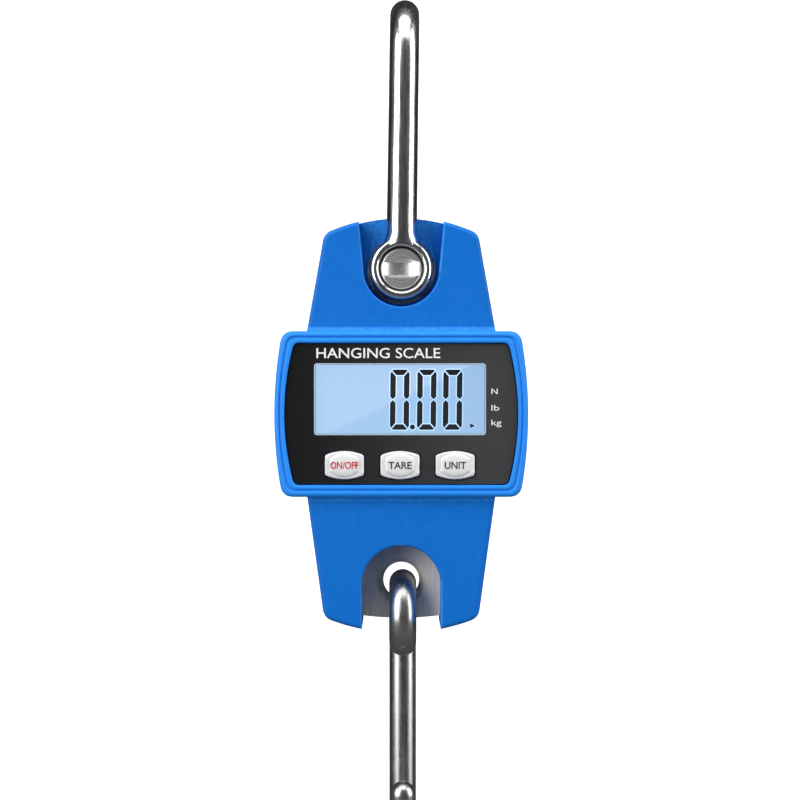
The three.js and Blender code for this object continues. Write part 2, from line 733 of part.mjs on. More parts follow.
// ---- assembly -----------------------------------------------------------------------------------

function piece(name, solid, finish) {
  const mesh = new THREE.Mesh(geometryOf(solid), new THREE.MeshStandardMaterial(finish));
  mesh.name = name;
  return mesh;
}

const scale = new THREE.Group();

const hanger = piece('upper_hook', upperHook(), FINISH.steel);
hanger.rotation.y = HOOK_LEAN;
scale.add(hanger);

const casing = new THREE.Group();
casing.position.set(
  -HANG_TO_EYE * Math.sin(HOOK_LEAN),
  0,
  -HANG_TO_EYE * Math.cos(HOOK_LEAN) - EYE_Z,
);
scale.add(casing);

casing.add(piece('front_cover', frontCover(), FINISH.bluePlastic));
casing.add(piece('rear_cover', rearCover(), FINISH.bluePlastic));
casing.add(piece('display_lens', displayLens(), FINISH.blackAcrylic));
casing.add(piece('lens_gasket', lensGasket(), FINISH.blackFoam));
casing.add(piece('lcd_glass', lcdLayer(LCD, LCD.margin), FINISH.lcdBlue));
casing.add(piece('lcd_backlight', lcdLayer(BACKLIGHT, 0), FINISH.diffuser));
casing.add(piece('main_board', mainBoard(), FINISH.greenBoard));
CHIPS.forEach(({ name, left, right, bottom, top }) => {
  const front = BOARD.back + GAP;
  casing.add(piece(name, block(left, right, front, front + CHIP_TALL, bottom, top), FINISH.blackChip));
});

BUTTONS.forEach(({ name, x }) => {
  const { half, front, back, stem, stemFront, stemBack } = SWITCH;
  const body = block(x - half, x + half, front, back, BUTTON_Z - half, BUTTON_Z + half);
  const post = disc(stem, x, BUTTON_Z, stemFront, stemBack, 12);
  casing.add(piece(`button_${name}`, button(x), FINISH.whitePlastic));
  casing.add(piece(`switch_stem_${name}`, post, FINISH.blackChip));
  casing.add(piece(`switch_body_${name}`, body, FINISH.zinc));
});

casing.add(piece('load_cell', loadCell(), FINISH.aluminium));
[-1, 1].forEach((side) => {
  const inner = side * (CELL.half + GAP);
  const outer = inner + side * GAUGE.thick;
  const left = Math.min(inner, outer);
  const right = Math.max(inner, outer);
  const pad = block(left, right, -GAUGE.halfDeep, GAUGE.halfDeep, -GAUGE.halfTall, GAUGE.halfTall);
  casing.add(piece(side < 0 ? 'strain_gauge_left' : 'strain_gauge_right', pad, FINISH.foil));
});
casing.add(piece('cell_cable', sweptCable(GAUGE_CABLE), FINISH.cable));

casing.add(piece('hook_bolt', hookBolt(), FINISH.steel));
casing.add(piece('eye_washer', washer(EYE_WASHER.radius, EYE_WASHER.front, EYE_WASHER.back), FINISH.brass));
casing.add(piece('spring_washer', springWasher(), FINISH.zinc));
casing.add(piece('bolt_nut', boltNut(), FINISH.zinc));

COVER_SCREWS.forEach(([x, z], i) => {
  const screw = crossScrew(x, z, COVER_SCREW.seat, COVER_SCREW.long, true);
  casing.add(piece(`cover_screw_${i + 1}`, screw, FINISH.zinc));
});
BOARD_SCREWS.forEach(([x, z], i) => {
  const { head, shank, headTall, past } = BOARD_SCREW;
  const under = BOARD.back + GAP;
  const screw = disc(head, x, z, under, under + headTall, 12).add(
    disc(shank, x, z, BOARD.front - past, under + headTall / 2, 8),
  );
  casing.add(piece(`board_screw_${i + 1}`, screw, FINISH.zinc));
});
[CELL_SCREW_Z, -CELL_SCREW_Z].forEach((z, i) => {
  const screw = crossScrew(0, z, -CELL.thick, CELL_SCREW_LONG, false);
  casing.add(piece(`cell_screw_${i + 1}`, screw, FINISH.zinc));
});

[-1, 0, 1].forEach((row, i) => {
  const z = row * BATTERY.pitch;
  const side = row === 0 ? -1 : 1;
  casing.add(piece(`battery_${i + 1}`, battery(z, side), FINISH.batterySleeve));
  casing.add(piece(`contact_coil_${i + 1}`, contactCoil(z, side), FINISH.zinc));
});
casing.add(piece('contact_strip_left', contactStrip(-1), FINISH.zinc));
casing.add(piece('contact_strip_right', contactStrip(1), FINISH.zinc));
[-1, 1].forEach((side) => {
  const name = side < 0 ? 'battery_lead_left' : 'battery_lead_right';
  casing.add(piece(name, sweptCable(SUPPLY_LEAD, side), FINISH.cable));
});
casing.add(piece('battery_door', batteryDoor(), FINISH.bluePlastic));

const doorScrew = crossScrew(0, DOOR_CUP.z, DOOR_CUP.seat, DOOR_CUP.screwLong, true);
casing.add(piece('door_screw', doorScrew, FINISH.zinc));

const load = new THREE.Group();
load.position.set(RING_X, 0, RING_Z);
load.rotation.x = RING_HANG;
load.add(piece('lower_hook', lowerHook(), FINISH.steel));
casing.add(load);

export default scale;
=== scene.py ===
"""Finished look of a hanging crane scale: casing, display, buttons, hooks, load cell and what is inside.

Sizes in the classes are millimetres from the middle of the display block, as a maker would draw them.
Every finished mesh is in metres in the model's own frame, with its object at the origin.
"""
import json
import logging
import math
from dataclasses import dataclass
from enum import Enum
from typing import Callable, Iterable, Sequence

import bmesh
import bpy
from mathutils import Euler, Matrix, Vector


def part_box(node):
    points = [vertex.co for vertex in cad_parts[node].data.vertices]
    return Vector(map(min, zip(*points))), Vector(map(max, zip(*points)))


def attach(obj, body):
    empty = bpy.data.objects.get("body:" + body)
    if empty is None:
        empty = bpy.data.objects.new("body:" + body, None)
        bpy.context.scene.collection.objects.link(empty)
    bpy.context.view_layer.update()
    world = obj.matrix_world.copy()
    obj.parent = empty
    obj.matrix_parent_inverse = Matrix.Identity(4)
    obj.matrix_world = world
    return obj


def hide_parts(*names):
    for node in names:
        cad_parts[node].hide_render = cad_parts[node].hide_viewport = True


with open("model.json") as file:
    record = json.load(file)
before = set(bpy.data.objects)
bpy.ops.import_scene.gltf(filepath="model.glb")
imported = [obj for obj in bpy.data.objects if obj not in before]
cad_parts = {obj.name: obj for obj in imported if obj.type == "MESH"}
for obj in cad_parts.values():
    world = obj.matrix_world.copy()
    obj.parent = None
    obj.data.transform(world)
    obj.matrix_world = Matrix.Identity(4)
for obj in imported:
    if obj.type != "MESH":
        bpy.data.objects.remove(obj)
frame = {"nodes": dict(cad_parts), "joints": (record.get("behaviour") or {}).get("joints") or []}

logging.basicConfig(level=logging.INFO, format="%(message)s")
LOG = logging.getLogger("crane_scale")

MM = 0.001
FAR = 200.0
Point = tuple[float, float]
Corner = tuple[float, float, float, float]
Ring = tuple[Sequence[Point], float]
Colour = tuple[float, float, float]
Loop = Sequence[bmesh.types.BMVert]
Object = bpy.types.Object
Material = bpy.types.Material
Node = bpy.types.Node
NodeTree = bpy.types.NodeTree
Socket = bpy.types.NodeSocket

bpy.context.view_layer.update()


class Cut(Enum):
    """How one solid is combined with another."""

    AWAY = "DIFFERENCE"
    JOIN = "UNION"
    KEEP = "INTERSECT"


class Facing(Enum):
    """Which way a screw's head looks along Y."""

    FRONT = -1
    REAR = 1


class Lettering(Enum):
    """The kinds of wording: letter size, and how much each stroke is thickened, in millimetres."""

    TITLE = (3.5, 0.02)
    UNIT = (2.6, 0.0)
    KEY = (2.9, 0.05)


@dataclass(frozen=True)
class Datum:
    """The places that everything is drawn from, read off the frame.

    Attributes:
        block: middle of the display block.
        eye: where the hook's bolt crosses.
        ring: centre of the lower hook's ring.
        lean: how far the upper hook leans about Y.
    """

    block: Vector
    eye: Vector
    ring: Vector
    lean: float

    @classmethod
    def from_frame(cls) -> "Datum":
        """Reads the datum off the circuit board and the joints.

        Returns:
            The datum in metres.
        """
        low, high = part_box("main_board")
        middle = (low + high) / 2
        places = {joint["name"]: Vector(joint["pos_m"]) for joint in frame["joints"] if "pos_m" in joint}
        eye = places["housing_swing"]
        return cls(
            block=Vector((middle.x, 0.0, middle.z)),
            eye=eye,
            ring=places["load_hook_swing"],
            lean=math.atan2(-eye.x, -eye.z),
        )

    def from_block(self) -> Matrix:
        """The move from millimetres round the display block to the frame."""
        return Matrix.Translation(self.block) @ Matrix.Scale(MM, 4)


DATUM = Datum.from_frame()


# ---- outlines ----


def blossom(a: Vector, c: Vector, b: Vector, s: float, t: float) -> Vector:
    """A point or control point of the quadratic curve from a to b through the control c.

    Args:
        a: start of the curve.
        c: its control point.
        b: its end.
        s: first parameter.
        t: second parameter, the same as s for a point on the curve.

    Returns:
        The point.
    """
    return a * (1 - s) * (1 - t) + c * (s * (1 - t) + t * (1 - s)) + b * s * t


def outline(corners: Sequence[Corner], turn: int = 8, bow: int = 22) -> list[Point]:
    """A closed outline with eased corners and bowed edges.

    Args:
        corners: x, z, corner radius and bulge of the edge that follows, anticlockwise.
        turn: steps round each corner.
        bow: steps along each bowed edge.

    Returns:
        The outline's points.
    """
    edges = []
    for index, (ax, az, from_radius, bulge) in enumerate(corners):
        bx, bz, to_radius, _ = corners[(index + 1) % len(corners)]
        a, b = Vector((ax, az)), Vector((bx, bz))
        along = b - a
        outward = Vector((along.y, -along.x)).normalized()
        control = (a + b) / 2 + outward * (2 * bulge)
        first, last = from_radius / along.length, 1 - to_radius / along.length
        steps = bow if bulge else 1
        spread = [first + (last - first) * k / steps for k in range(steps + 1)]
        edges.append([blossom(a, control, b, t, t) for t in spread])
    points: list[Vector] = []
    for index, edge in enumerate(edges):
        points.extend(edge)
        after = (index + 1) % len(corners)
        if corners[after][2] > 0:
            corner = Vector(corners[after][:2])
            start, end = edge[-1], edges[after][0]
            points.extend(blossom(start, corner, end, k / turn, k / turn) for k in range(1, turn))
        else:
            points.pop()
    return [(p.x, p.y) for p in points]


def bowed(half: float, bulge: float, half_tall: float, corner: float, rise: float = 0.0) -> list[Point]:
    """A rectangle whose two upright sides bow out.

    Args:
        half: half width at the corners.
        bulge: how far each side bows.
        half_tall: half height.
        corner: corner radius.
        rise: how far the middle is above the datum.

    Returns:
        The outline's points.
    """
    low, high = rise - half_tall, rise + half_tall
    return outline([
        (-half, low, corner, 0),
        (half, low, corner, bulge),
        (half, high, corner, 0),
        (-half, high, corner, bulge),
    ])


def rectangle(left: float, low: float, right: float, high: float, corner: float = 0.6) -> list[Point]:
    """A rectangle with eased corners, from its left, low, right and high edges."""
    return outline([(x, z, corner, 0) for x, z in ((left, low), (right, low), (right, high), (left, high))])


def quarter(steps: int) -> list[float]:
    """Angles round a quarter turn, in even steps."""
    return [math.pi / 2 * k / steps for k in range(steps + 1)]


def circle(x: float, z: float, radius: float, sides: int = 64) -> list[Point]:
    """A circle's points."""
    angles = [2 * math.pi * k / sides for k in range(sides)]
    return [(x + radius * math.cos(a), z + radius * math.sin(a)) for a in angles]


# ---- solids ----


def to_object(name: str, bm: bmesh.types.BMesh) -> Object:
    """Turns a closed shape into an object with its faces outwards.

    Args:
        name: the object's name.
        bm: the shape, which is freed.

    Returns:
        The new object, linked to the scene.
    """
    bmesh.ops.remove_doubles(bm, verts=bm.verts, dist=1e-5)
    bmesh.ops.recalc_face_normals(bm, faces=bm.faces)
    mesh = bpy.data.meshes.new(name)
    bm.to_mesh(mesh)
    bm.free()
    piece = bpy.data.objects.new(name, mesh)
    bpy.context.scene.collection.objects.link(piece)
    return piece


def bridge(bm: bmesh.types.BMesh, near: Loop, far: Loop) -> None:
    """Joins two closed loops of equally many points with a strip of faces."""
    for k in range(len(near)):
        after = (k + 1) % len(near)
        bm.faces.new((near[k], near[after], far[after], far[k]))


def loft(name: str, rings: Sequence[Ring], closed: bool = False) -> Object:
    """A solid through outlines of equally many points, each at its own depth.

    Args:
        name: the object's name.
        rings: outline and depth of each ring, in order.
        closed: whether the last ring meets the first instead of both being capped.

    Returns:
        The solid.
    """
    bm = bmesh.new()
    loops = [[bm.verts.new((x, y, z)) for x, z in points] for points, y in rings]
    pairs = list(zip(loops, loops[1:]))
    if closed:
        pairs.append((loops[-1], loops[0]))
    for near, far in pairs:
        bridge(bm, near, far)
    if not closed:
        bm.faces.new(loops[0])
        bm.faces.new(loops[-1])
    return to_object(name, bm)


def slab(points: Sequence[Point], front: float, back: float) -> Object:
    """An outline pushed straight from front to back, used as a plain solid or a cutter."""
    return loft("slab", [(points, back), (points, front)])


def box(low: Sequence[float], high: Sequence[float]) -> Object:
    """A plain cutter between two corners."""
    outline_points = [(low[0], low[2]), (high[0], low[2]), (high[0], high[2]), (low[0], high[2])]
    return slab(outline_points, low[1], high[1])


def disc(x: float, z: float, radius: float, front: float, back: float, sides: int = 48) -> Object:
    """A round bar along Y, used as a plain solid or a cutter."""
    return slab(circle(x, z, radius, sides), front, back)


def lathe(name: str, profile: Sequence[Point], centre: Point = (0.0, 0.0), sides: int = 72,
          closed: bool = False) -> Object:
    """A solid turned about a line along Y.

    Args:
        name: the object's name.
        profile: radius and depth of each point; a radius of nought is a pole.
        centre: x and z of the line.
        sides: how many sides.
        closed: whether the profile closes on itself, as a ring's does.

    Returns:
        The solid.
    """
    rings = [(circle(centre[0], centre[1], max(radius, 1e-4), sides), y) for radius, y in profile]
    return loft(name, rings, closed)


def eased(radius: float, depth: float, ease: float, inward: float, forward: float,
          steps: int = 5) -> list[Point]:
    """A quarter round from a side wall on to a face.

    Args:
        radius: radius of the wall.
        depth: depth of the face.
        ease: size of the quarter round.
        inward: -1 where the face is nearer the axis than the wall, +1 where it is further.
        forward: -1 where the face looks forwards, +1 where it looks back.
        steps: steps round it.

    Returns:
        The profile's points, wall first.
    """
    return [(radius + inward * ease * (1 - math.cos(a)), depth - forward * ease * (1 - math.sin(a)))
            for a in quarter(steps)]


def sweep(name: str, path: Sequence[Vector], radii: Sequence[float], spread: Sequence[float] = (),
          sides: int = 64) -> Object:
    """A round bar along a path in the YZ plane, closed at both ends.

    Args:
        name: the object's name.
        path: the middle of the bar.
        radii: its radius at each point.
        spread: how much wider than deep the bar is at its first points.
        sides: how many sides.

    Returns:
        The solid.
    """
    bm = bmesh.new()
    across = Vector((1, 0, 0))
    loops = []
    for k, centre in enumerate(path):
        before, after = path[max(k - 1, 0)], path[min(k + 1, len(path) - 1)]
        normal = across.cross((after - before).normalized())
        wide = spread[k] if k < len(spread) else 1.0
        spots = [(math.cos(a) * wide, math.sin(a)) for a in (math.tau * side / sides for side in range(sides))]
        loops.append([bm.verts.new(centre + radii[k] * (across * x + normal * y)) for x, y in spots])
    for near, far in zip(loops, loops[1:]):
        bridge(bm, near, far)
    bm.faces.new(loops[0])
    bm.faces.new(loops[-1])
    return to_object(name, bm)


def settle(piece: Object) -> None:
    """Turns the piece's modifiers into plain mesh."""
    graph = bpy.context.evaluated_depsgraph_get()
    mesh = bpy.data.meshes.new_from_object(piece.evaluated_get(graph))
    piece.modifiers.clear()
    old, piece.data = piece.data, mesh
    mesh.name = piece.name
    bpy.data.meshes.remove(old)


def carve(piece: Object, others: Iterable[Object], how: Cut = Cut.AWAY) -> Object:
    """Combines other solids with a piece and removes them.

    Args:
        piece: the solid that is kept.
        others: the solids that it is combined with.
        how: the way they combine.

    Returns:
        The piece.
    """
    tools = list(others)
    for tool in tools:
        modifier = piece.modifiers.new("combine", "BOOLEAN")
        modifier.operation = how.value
        modifier.solver = "EXACT"
        modifier.object = tool
    settle(piece)
    for tool in tools:
        mesh = tool.data
        bpy.data.objects.remove(tool)
        bpy.data.meshes.remove(mesh)
    return piece


def smooth(piece: Object, degrees: float) -> None:
    """Shades a piece smooth up to an angle, with flat faces kept flat."""
    mesh = piece.data
    mesh.polygons.foreach_set("use_smooth", [True] * len(mesh.polygons))
    mesh.set_sharp_from_angle(angle=math.radians(degrees))
    modifier = piece.modifiers.new("normals", "WEIGHTED_NORMAL")
    modifier.keep_sharp = True
    settle(piece)


def place(piece: Object, name: str, finish: "Finish", nodes: Sequence[str] = (), shade: float = 30.0,
          body: str = "housing", matrix: Matrix | None = None) -> Object:
    """Moves a finished piece into the frame, dresses it and lets it ride.

    Args:
        piece: the piece in millimetres.
        name: its name.
        finish: its finish.
        nodes: the model's nodes that it stands for.
        shade: the angle up to which it is shaded smooth.
        body: the body that it rides on.
        matrix: the move into the frame, or nothing for a piece drawn round the display block.

    Returns:
        The piece.
    """
    piece.name = name
    piece.data.name = name
    piece.data.transform(DATUM.from_block() if matrix is None else matrix)
    smooth(piece, shade)
    piece.data.materials.clear()
    piece.data.materials.append(finish.material())
    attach(piece, body)
    if nodes:
        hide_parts(*nodes)
    LOG.info("%s: %d faces on %s", name, len(piece.data.polygons), body)
    return piece


def ease_edges(piece: Object, width: float, degrees: float) -> None:
    """Rounds the edges that are sharper than an angle.

    Args:
        piece: the piece.
        width: width of the rounding.
        degrees: the angle.
    """
    modifier = piece.modifiers.new("ease", "BEVEL")
    modifier.width = width
    modifier.segments = 2
    modifier.limit_method = "ANGLE"
    modifier.angle_limit = math.radians(degrees)
    settle(piece)


def copy_of(node: str, width: float) -> Object:
    """A merged copy of a node's mesh in millimetres round the display block, its edges eased.

    Args:
        node: the node to copy.
        width: width of the eased edges.

    Returns:
        The copy, not yet dressed.
    """
    bm = bmesh.new()
    bm.from_mesh(frame["nodes"][node].data)
    bmesh.ops.transform(bm, matrix=DATUM.from_block().inverted(), verts=bm.verts)
    bmesh.ops.remove_doubles(bm, verts=bm.verts, dist=1e-4)
    bmesh.ops.dissolve_limit(bm, angle_limit=math.radians(1), verts=bm.verts, edges=bm.edges)
    piece = to_object(node, bm)
    ease_edges(piece, width, 40)
    return piece


# ---- node trees ----


class Graph:
    """A short hand for laying nodes in a tree."""

    def __init__(self, tree: NodeTree) -> None:
        """Keeps the tree."""
        self.tree = tree

    def add(self, kind: str, inputs: dict | None = None, **settings) -> Node:
        """Adds a node.

        Args:
            kind: the node's type.
            inputs: a value, or another node's output, for each input by name or number.
            settings: the node's own properties.

        Returns:
            The node.
        """
        node = self.tree.nodes.new(kind)
        for key, value in settings.items():
            setattr(node, key, value)
        for key, value in (inputs or {}).items():
            if isinstance(value, Socket):
                self.tree.links.new(value, node.inputs[key])
            else:
                node.inputs[key].default_value = value
        return node

    def vector(self, operation: str, first: Socket, second) -> Node:
        """A sum of two vectors."""
        return self.add("ShaderNodeVectorMath", {0: first, 1: second}, operation=operation)

    def math(self, operation: str, first, second=0.0) -> Socket:
        """A sum of two values or outputs."""
        return self.add("ShaderNodeMath", {0: first, 1: second}, operation=operation).outputs[0]

    def span(self, value, low: float, high: float, to_low: float, to_high: float) -> Socket:
        """A value carried smoothly from one range to another and held at its ends."""
        inputs = {"Value": value, "From Min": low, "From Max": high, "To Min": to_low, "To Max": to_high}
        return self.add("ShaderNodeMapRange", inputs, interpolation_type="SMOOTHSTEP").outputs["Result"]

    def noise(self, vector: Socket, scale, detail: float) -> Socket:
        """A cloudy value between nought and one."""
        inputs = {"Vector": vector, "Scale": scale, "Detail": detail}
        return self.add("ShaderNodeTexNoise", inputs).outputs["Fac"]

    def blend(self, factor, first, second) -> Socket:
        """A colour between two colours."""
        node = self.add("ShaderNodeMix", data_type="RGBA")
        for socket, value in ((node.inputs[0], factor), (node.inputs[6], first), (node.inputs[7], second)):
            if isinstance(value, Socket):
                self.tree.links.new(value, socket)
            else:
                socket.default_value = value
        return node.outputs[2]


def shader_group(name: str, inputs: dict[str, float | None], outputs: Sequence[str],
                 body: Callable[[Graph, dict], dict]) -> NodeTree:
    """Builds a shader node group once.

    Args:
        name: the group's name.
        inputs: each input's name and starting value; no value makes it a vector.
        outputs: the names of its values.
        body: lays the nodes and returns an output for each name.

    Returns:
        The group.
    """
    if name in bpy.data.node_groups:
        return bpy.data.node_groups[name]
    tree = bpy.data.node_groups.new(name, "ShaderNodeTree")
    for label, value in inputs.items():
        kind = "NodeSocketVector" if value is None else "NodeSocketFloat"
        socket = tree.interface.new_socket(label, in_out="INPUT", socket_type=kind)
        if value is not None:
            socket.default_value = value
    for label in outputs:
        tree.interface.new_socket(label, in_out="OUTPUT", socket_type="NodeSocketFloat")
    graph = Graph(tree)
    start = graph.add("NodeGroupInput")
    end = graph.add("NodeGroupOutput")
    results = body(graph, {socket.name: socket for socket in start.outputs})
    for label, socket in results.items():
        tree.links.new(socket, end.inputs[label])
    return tree


def moulded_grain() -> NodeTree:
    """Fine moulded texture: a height and a tint that both wander."""

    def body(graph: Graph, given: dict) -> dict:
        """Lays two sizes of noise."""
        fine = graph.noise(given["Vector"], given["Scale"], 3.0)
        broad_scale = graph.math("MULTIPLY", given["Scale"], 0.08)
        broad = graph.noise(given["Vector"], broad_scale, 2.0)
        mixed = graph.math("ADD", graph.math("MULTIPLY", fine, 0.65), graph.math("MULTIPLY", broad, 0.35))
        return {"Height": fine, "Tint": mixed}

    return shader_group("moulded_grain", {"Vector": None, "Scale": 2500.0}, ("Height", "Tint"), body)


def drawn_lines() -> NodeTree:
    """Long fine lines, as drawing or brushing leaves on metal."""

    def body(graph: Graph, given: dict) -> dict:
        """Stretches noise along Z."""
        lines = graph.add("ShaderNodeMapping", {"Vector": given["Vector"], "Scale": (1.0, 1.0, 0.02)})
        noise = graph.noise(lines.outputs[0], given["Scale"], 4.0)
        return {"Height": noise, "Tint": graph.span(noise, 0.35, 0.65, 0.0, 1.0)}

    return shader_group("drawn_lines", {"Vector": None, "Scale": 1800.0}, ("Height", "Tint"), body)


def turned_rings(centre: Point) -> NodeTree:
    """Fine rings about a line along Y.

    Args:
        centre: x and z of the line, in metres.

    Returns:
        The group.
    """

    def body(graph: Graph, given: dict) -> dict:
        """Reads the distance from the line."""
        moved = graph.vector("ADD", given["Vector"], (-centre[0], 0.0, -centre[1]))
        flat = graph.vector("MULTIPLY", moved.outputs[0], (1.0, 0.0, 1.0))
        reach = graph.add("ShaderNodeVectorMath", {0: flat.outputs[0]}, operation="LENGTH").outputs["Value"]
        noise = graph.add("ShaderNodeTexNoise", {"W": reach, "Scale": given["Scale"], "Detail": 3.0},
                          noise_dimensions="1D")
        return {"Height": noise.outputs["Fac"], "Tint": graph.span(noise.outputs["Fac"], 0.35, 0.65, 0.0, 1.0)}

    return shader_group("turned_rings", {"Vector": None, "Scale": 4000.0}, ("Height", "Tint"), body)


def handling_marks() -> NodeTree:
    """Faint smears where hands have been."""

    def body(graph: Graph, given: dict) -> dict:
        """Bends one noise with another."""
        vector, scale = given["Vector"], given["Scale"]
        drift = graph.add("ShaderNodeTexNoise", {"Vector": vector, "Scale": scale, "Detail": 2.0})
        moved = graph.vector("MULTIPLY", vector, drift.outputs["Color"]).outputs[0]
        return {"Mask": graph.span(graph.noise(moved, scale, 5.0), 0.5, 0.75, 0.0, 1.0)}

    return shader_group("handling_marks", {"Vector": None, "Scale": 60.0}, ("Mask",), body)


def edge_wear() -> NodeTree:
    """A mask that is strongest on sharp outer edges, broken up by noise: wear, and a painted highlight where
    the edge colour is lighter.
    """

    def body(graph: Graph, given: dict) -> dict:
        """Picks the outer edges."""
        shape = graph.add("ShaderNodeNewGeometry")
        edges = graph.span(shape.outputs["Pointiness"], 0.505, 0.56, 0.0, 1.0)
        noise = graph.noise(given["Vector"], 700.0, 3.0)
        broken = graph.math("MULTIPLY", edges, graph.span(noise, 0.3, 0.7, 0.4, 1.0))
        return {"Mask": graph.math("MULTIPLY", broken, given["Strength"])}

    return shader_group("edge_wear", {"Vector": None, "Strength": 0.5}, ("Mask",), body)


@dataclass(frozen=True)
class Finish:
    """What every finish has: a name, a colour and how rough it is.

    Attributes:
        name: the material's name.
        colour: its linear colour.
        roughness: its middle roughness.
        metallic: 1 for bare metal.
        spread: how far the roughness wanders.
        tint: how far the colour wanders.
        bump: depth of the surface texture, in metres.
        scale: size of the texture; a larger number is finer.
        coat: strength of a clear coat.
        wear_and_highlight: strength of the pale outer edges; on the blue moulding they are a painted highlight.
        edge: colour of the outer edges.
        shine: strength of the clear reflection on what isn't metal.
    """

    name: str
    colour: Colour
    roughness: float
    metallic: float = 0.0
    spread: float = 0.08
    tint: float = 0.12
    bump: float = 1.5e-5
    scale: float = 2500.0
    coat: float = 0.0
    wear_and_highlight: float = 0.0
    edge: Colour = (0.8, 0.8, 0.8)
    shine: float = 0.5

    def texture(self) -> NodeTree:
        """The group that gives the surface its texture."""
        return moulded_grain()

    def paint(self, graph: Graph, place_at: Socket, tint: Socket) -> Socket:
        """The base colour, wandering between a darker and a lighter tone.

        Args:
            graph: the material's nodes.
            place_at: object coordinates.
            tint: the texture's tint.

        Returns:
            The colour.
        """
        dark = tuple(c * (1 - self.tint) for c in self.colour) + (1.0,)
        light = tuple(min(1.0, c * (1 + self.tint)) for c in self.colour) + (1.0,)
        colour = graph.blend(tint, dark, light)
        if not self.wear_and_highlight:
            return colour
        # Pale outer edges: a painted highlight on the blue moulding.
        wear_and_highlight_mask = graph.add("ShaderNodeGroup", node_tree=edge_wear())
        graph.tree.links.new(place_at, wear_and_highlight_mask.inputs["Vector"])
        wear_and_highlight_mask.inputs["Strength"].default_value = self.wear_and_highlight
        return graph.blend(wear_and_highlight_mask.outputs["Mask"], colour, self.edge + (1.0,))

    def extras(self, graph: Graph, shader: Node, place_at: Socket) -> None:
        """Anything more that one finish needs."""

    def material(self) -> Material:
        """Builds the material, or returns it if it is there.

        Returns:
            The material.
        """
        if self.name in bpy.data.materials:
            return bpy.data.materials[self.name]
        made = bpy.data.materials.new(self.name)
        made.use_nodes = True
        graph = Graph(made.node_tree)
        shader = made.node_tree.nodes["Principled BSDF"]
        place_at = graph.add("ShaderNodeTexCoord").outputs["Object"]
        texture = graph.add("ShaderNodeGroup", {"Vector": place_at}, node_tree=self.texture())
        texture.inputs["Scale"].default_value = self.scale
        marks = graph.add("ShaderNodeGroup", {"Vector": place_at}, node_tree=handling_marks())
        wander = graph.math("MULTIPLY", texture.outputs["Tint"], self.spread)
        smears = graph.math("MULTIPLY", marks.outputs["Mask"], self.spread)
        rough = graph.math("ADD", graph.math("ADD", wander, smears), self.roughness - self.spread / 2)
        relief = {"Height": texture.outputs["Height"], "Distance": self.bump, "Strength": 1.0}
        bump = graph.add("ShaderNodeBump", relief)
        shader.inputs["Metallic"].default_value = self.metallic
        shader.inputs["Specular IOR Level"].default_value = self.shine
        shader.inputs["Coat Weight"].default_value = self.coat
        shader.inputs["Coat Roughness"].default_value = 0.06
        graph.tree.links.new(rough, shader.inputs["Roughness"])
        graph.tree.links.new(bump.outputs[0], shader.inputs["Normal"])
        graph.tree.links.new(self.paint(graph, place_at, texture.outputs["Tint"]), shader.inputs["Base Color"])
        self.extras(graph, shader, place_at)
        return made


@dataclass(frozen=True)
class MouldedBlue(Finish):
    """Blue moulding with a painted highlight that makes the raised bezel a little lighter.

    Attributes:
        raised: its colour on the bezel, a painted highlight.
        steps: depths between which it changes, in metres.
    """

    raised: Colour = (0.02, 0.26, 0.86)
    steps: Point = (-0.0172, -0.0164)

    def paint(self, graph: Graph, place_at: Socket, tint: Socket) -> Socket:
        """The wandering blue, with a painted highlight that lightens it towards the front of the bezel."""
        plain = super().paint(graph, place_at, tint)
        depth = graph.add("ShaderNodeSeparateXYZ", {0: place_at}).outputs["Y"]
        # The bezel's front is made lighter: a painted highlight.
        share = graph.span(depth, self.steps[0], self.steps[1], 0.85, 0.0)
        return graph.blend(share, plain, self.raised + (1.0,))


@dataclass(frozen=True)
class DrawnMetal(Finish):
    """Bare metal with the fine lines that drawing or brushing leaves."""

    metallic: float = 1.0

    def texture(self) -> NodeTree:
        """Lines along the bar."""
        return drawn_lines()


@dataclass(frozen=True)
class TurnedMetal(DrawnMetal):
    """Bare metal with the fine rings that turning leaves.

    Attributes:
        centre: x and z of the middle of the rings, in metres.
    """

    centre: Point = (0.0, 0.0)

    def texture(self) -> NodeTree:
        """Rings round the bolt."""
        return turned_rings(self.centre)


@dataclass(frozen=True)
class StudioPaper(Finish):
    """Matt white paper that looks white to the camera and stays grey in what shines."""

    def extras(self, graph: Graph, shader: Node, place_at: Socket) -> None:
        """Adds a glow that only the camera meets."""
        mottle = graph.add("ShaderNodeTexNoise", {"Vector": place_at, "Scale": 2.0})
        level = graph.blend(mottle.outputs["Fac"], (0.99, 0.99, 0.99, 1.0), (1.0, 1.0, 1.0, 1.0))
        seen = graph.add("ShaderNodeLightPath").outputs["Is Camera Ray"]
        glow = graph.blend(seen, (0.0, 0.0, 0.0, 1.0), level)
        base = graph.blend(seen, (0.12, 0.12, 0.12, 1.0), (0.88, 0.88, 0.88, 1.0))
        graph.tree.links.new(base, shader.inputs["Base Color"])
        graph.tree.links.new(glow, shader.inputs["Emission Color"])
        shader.inputs["Emission Strength"].default_value = 0.9


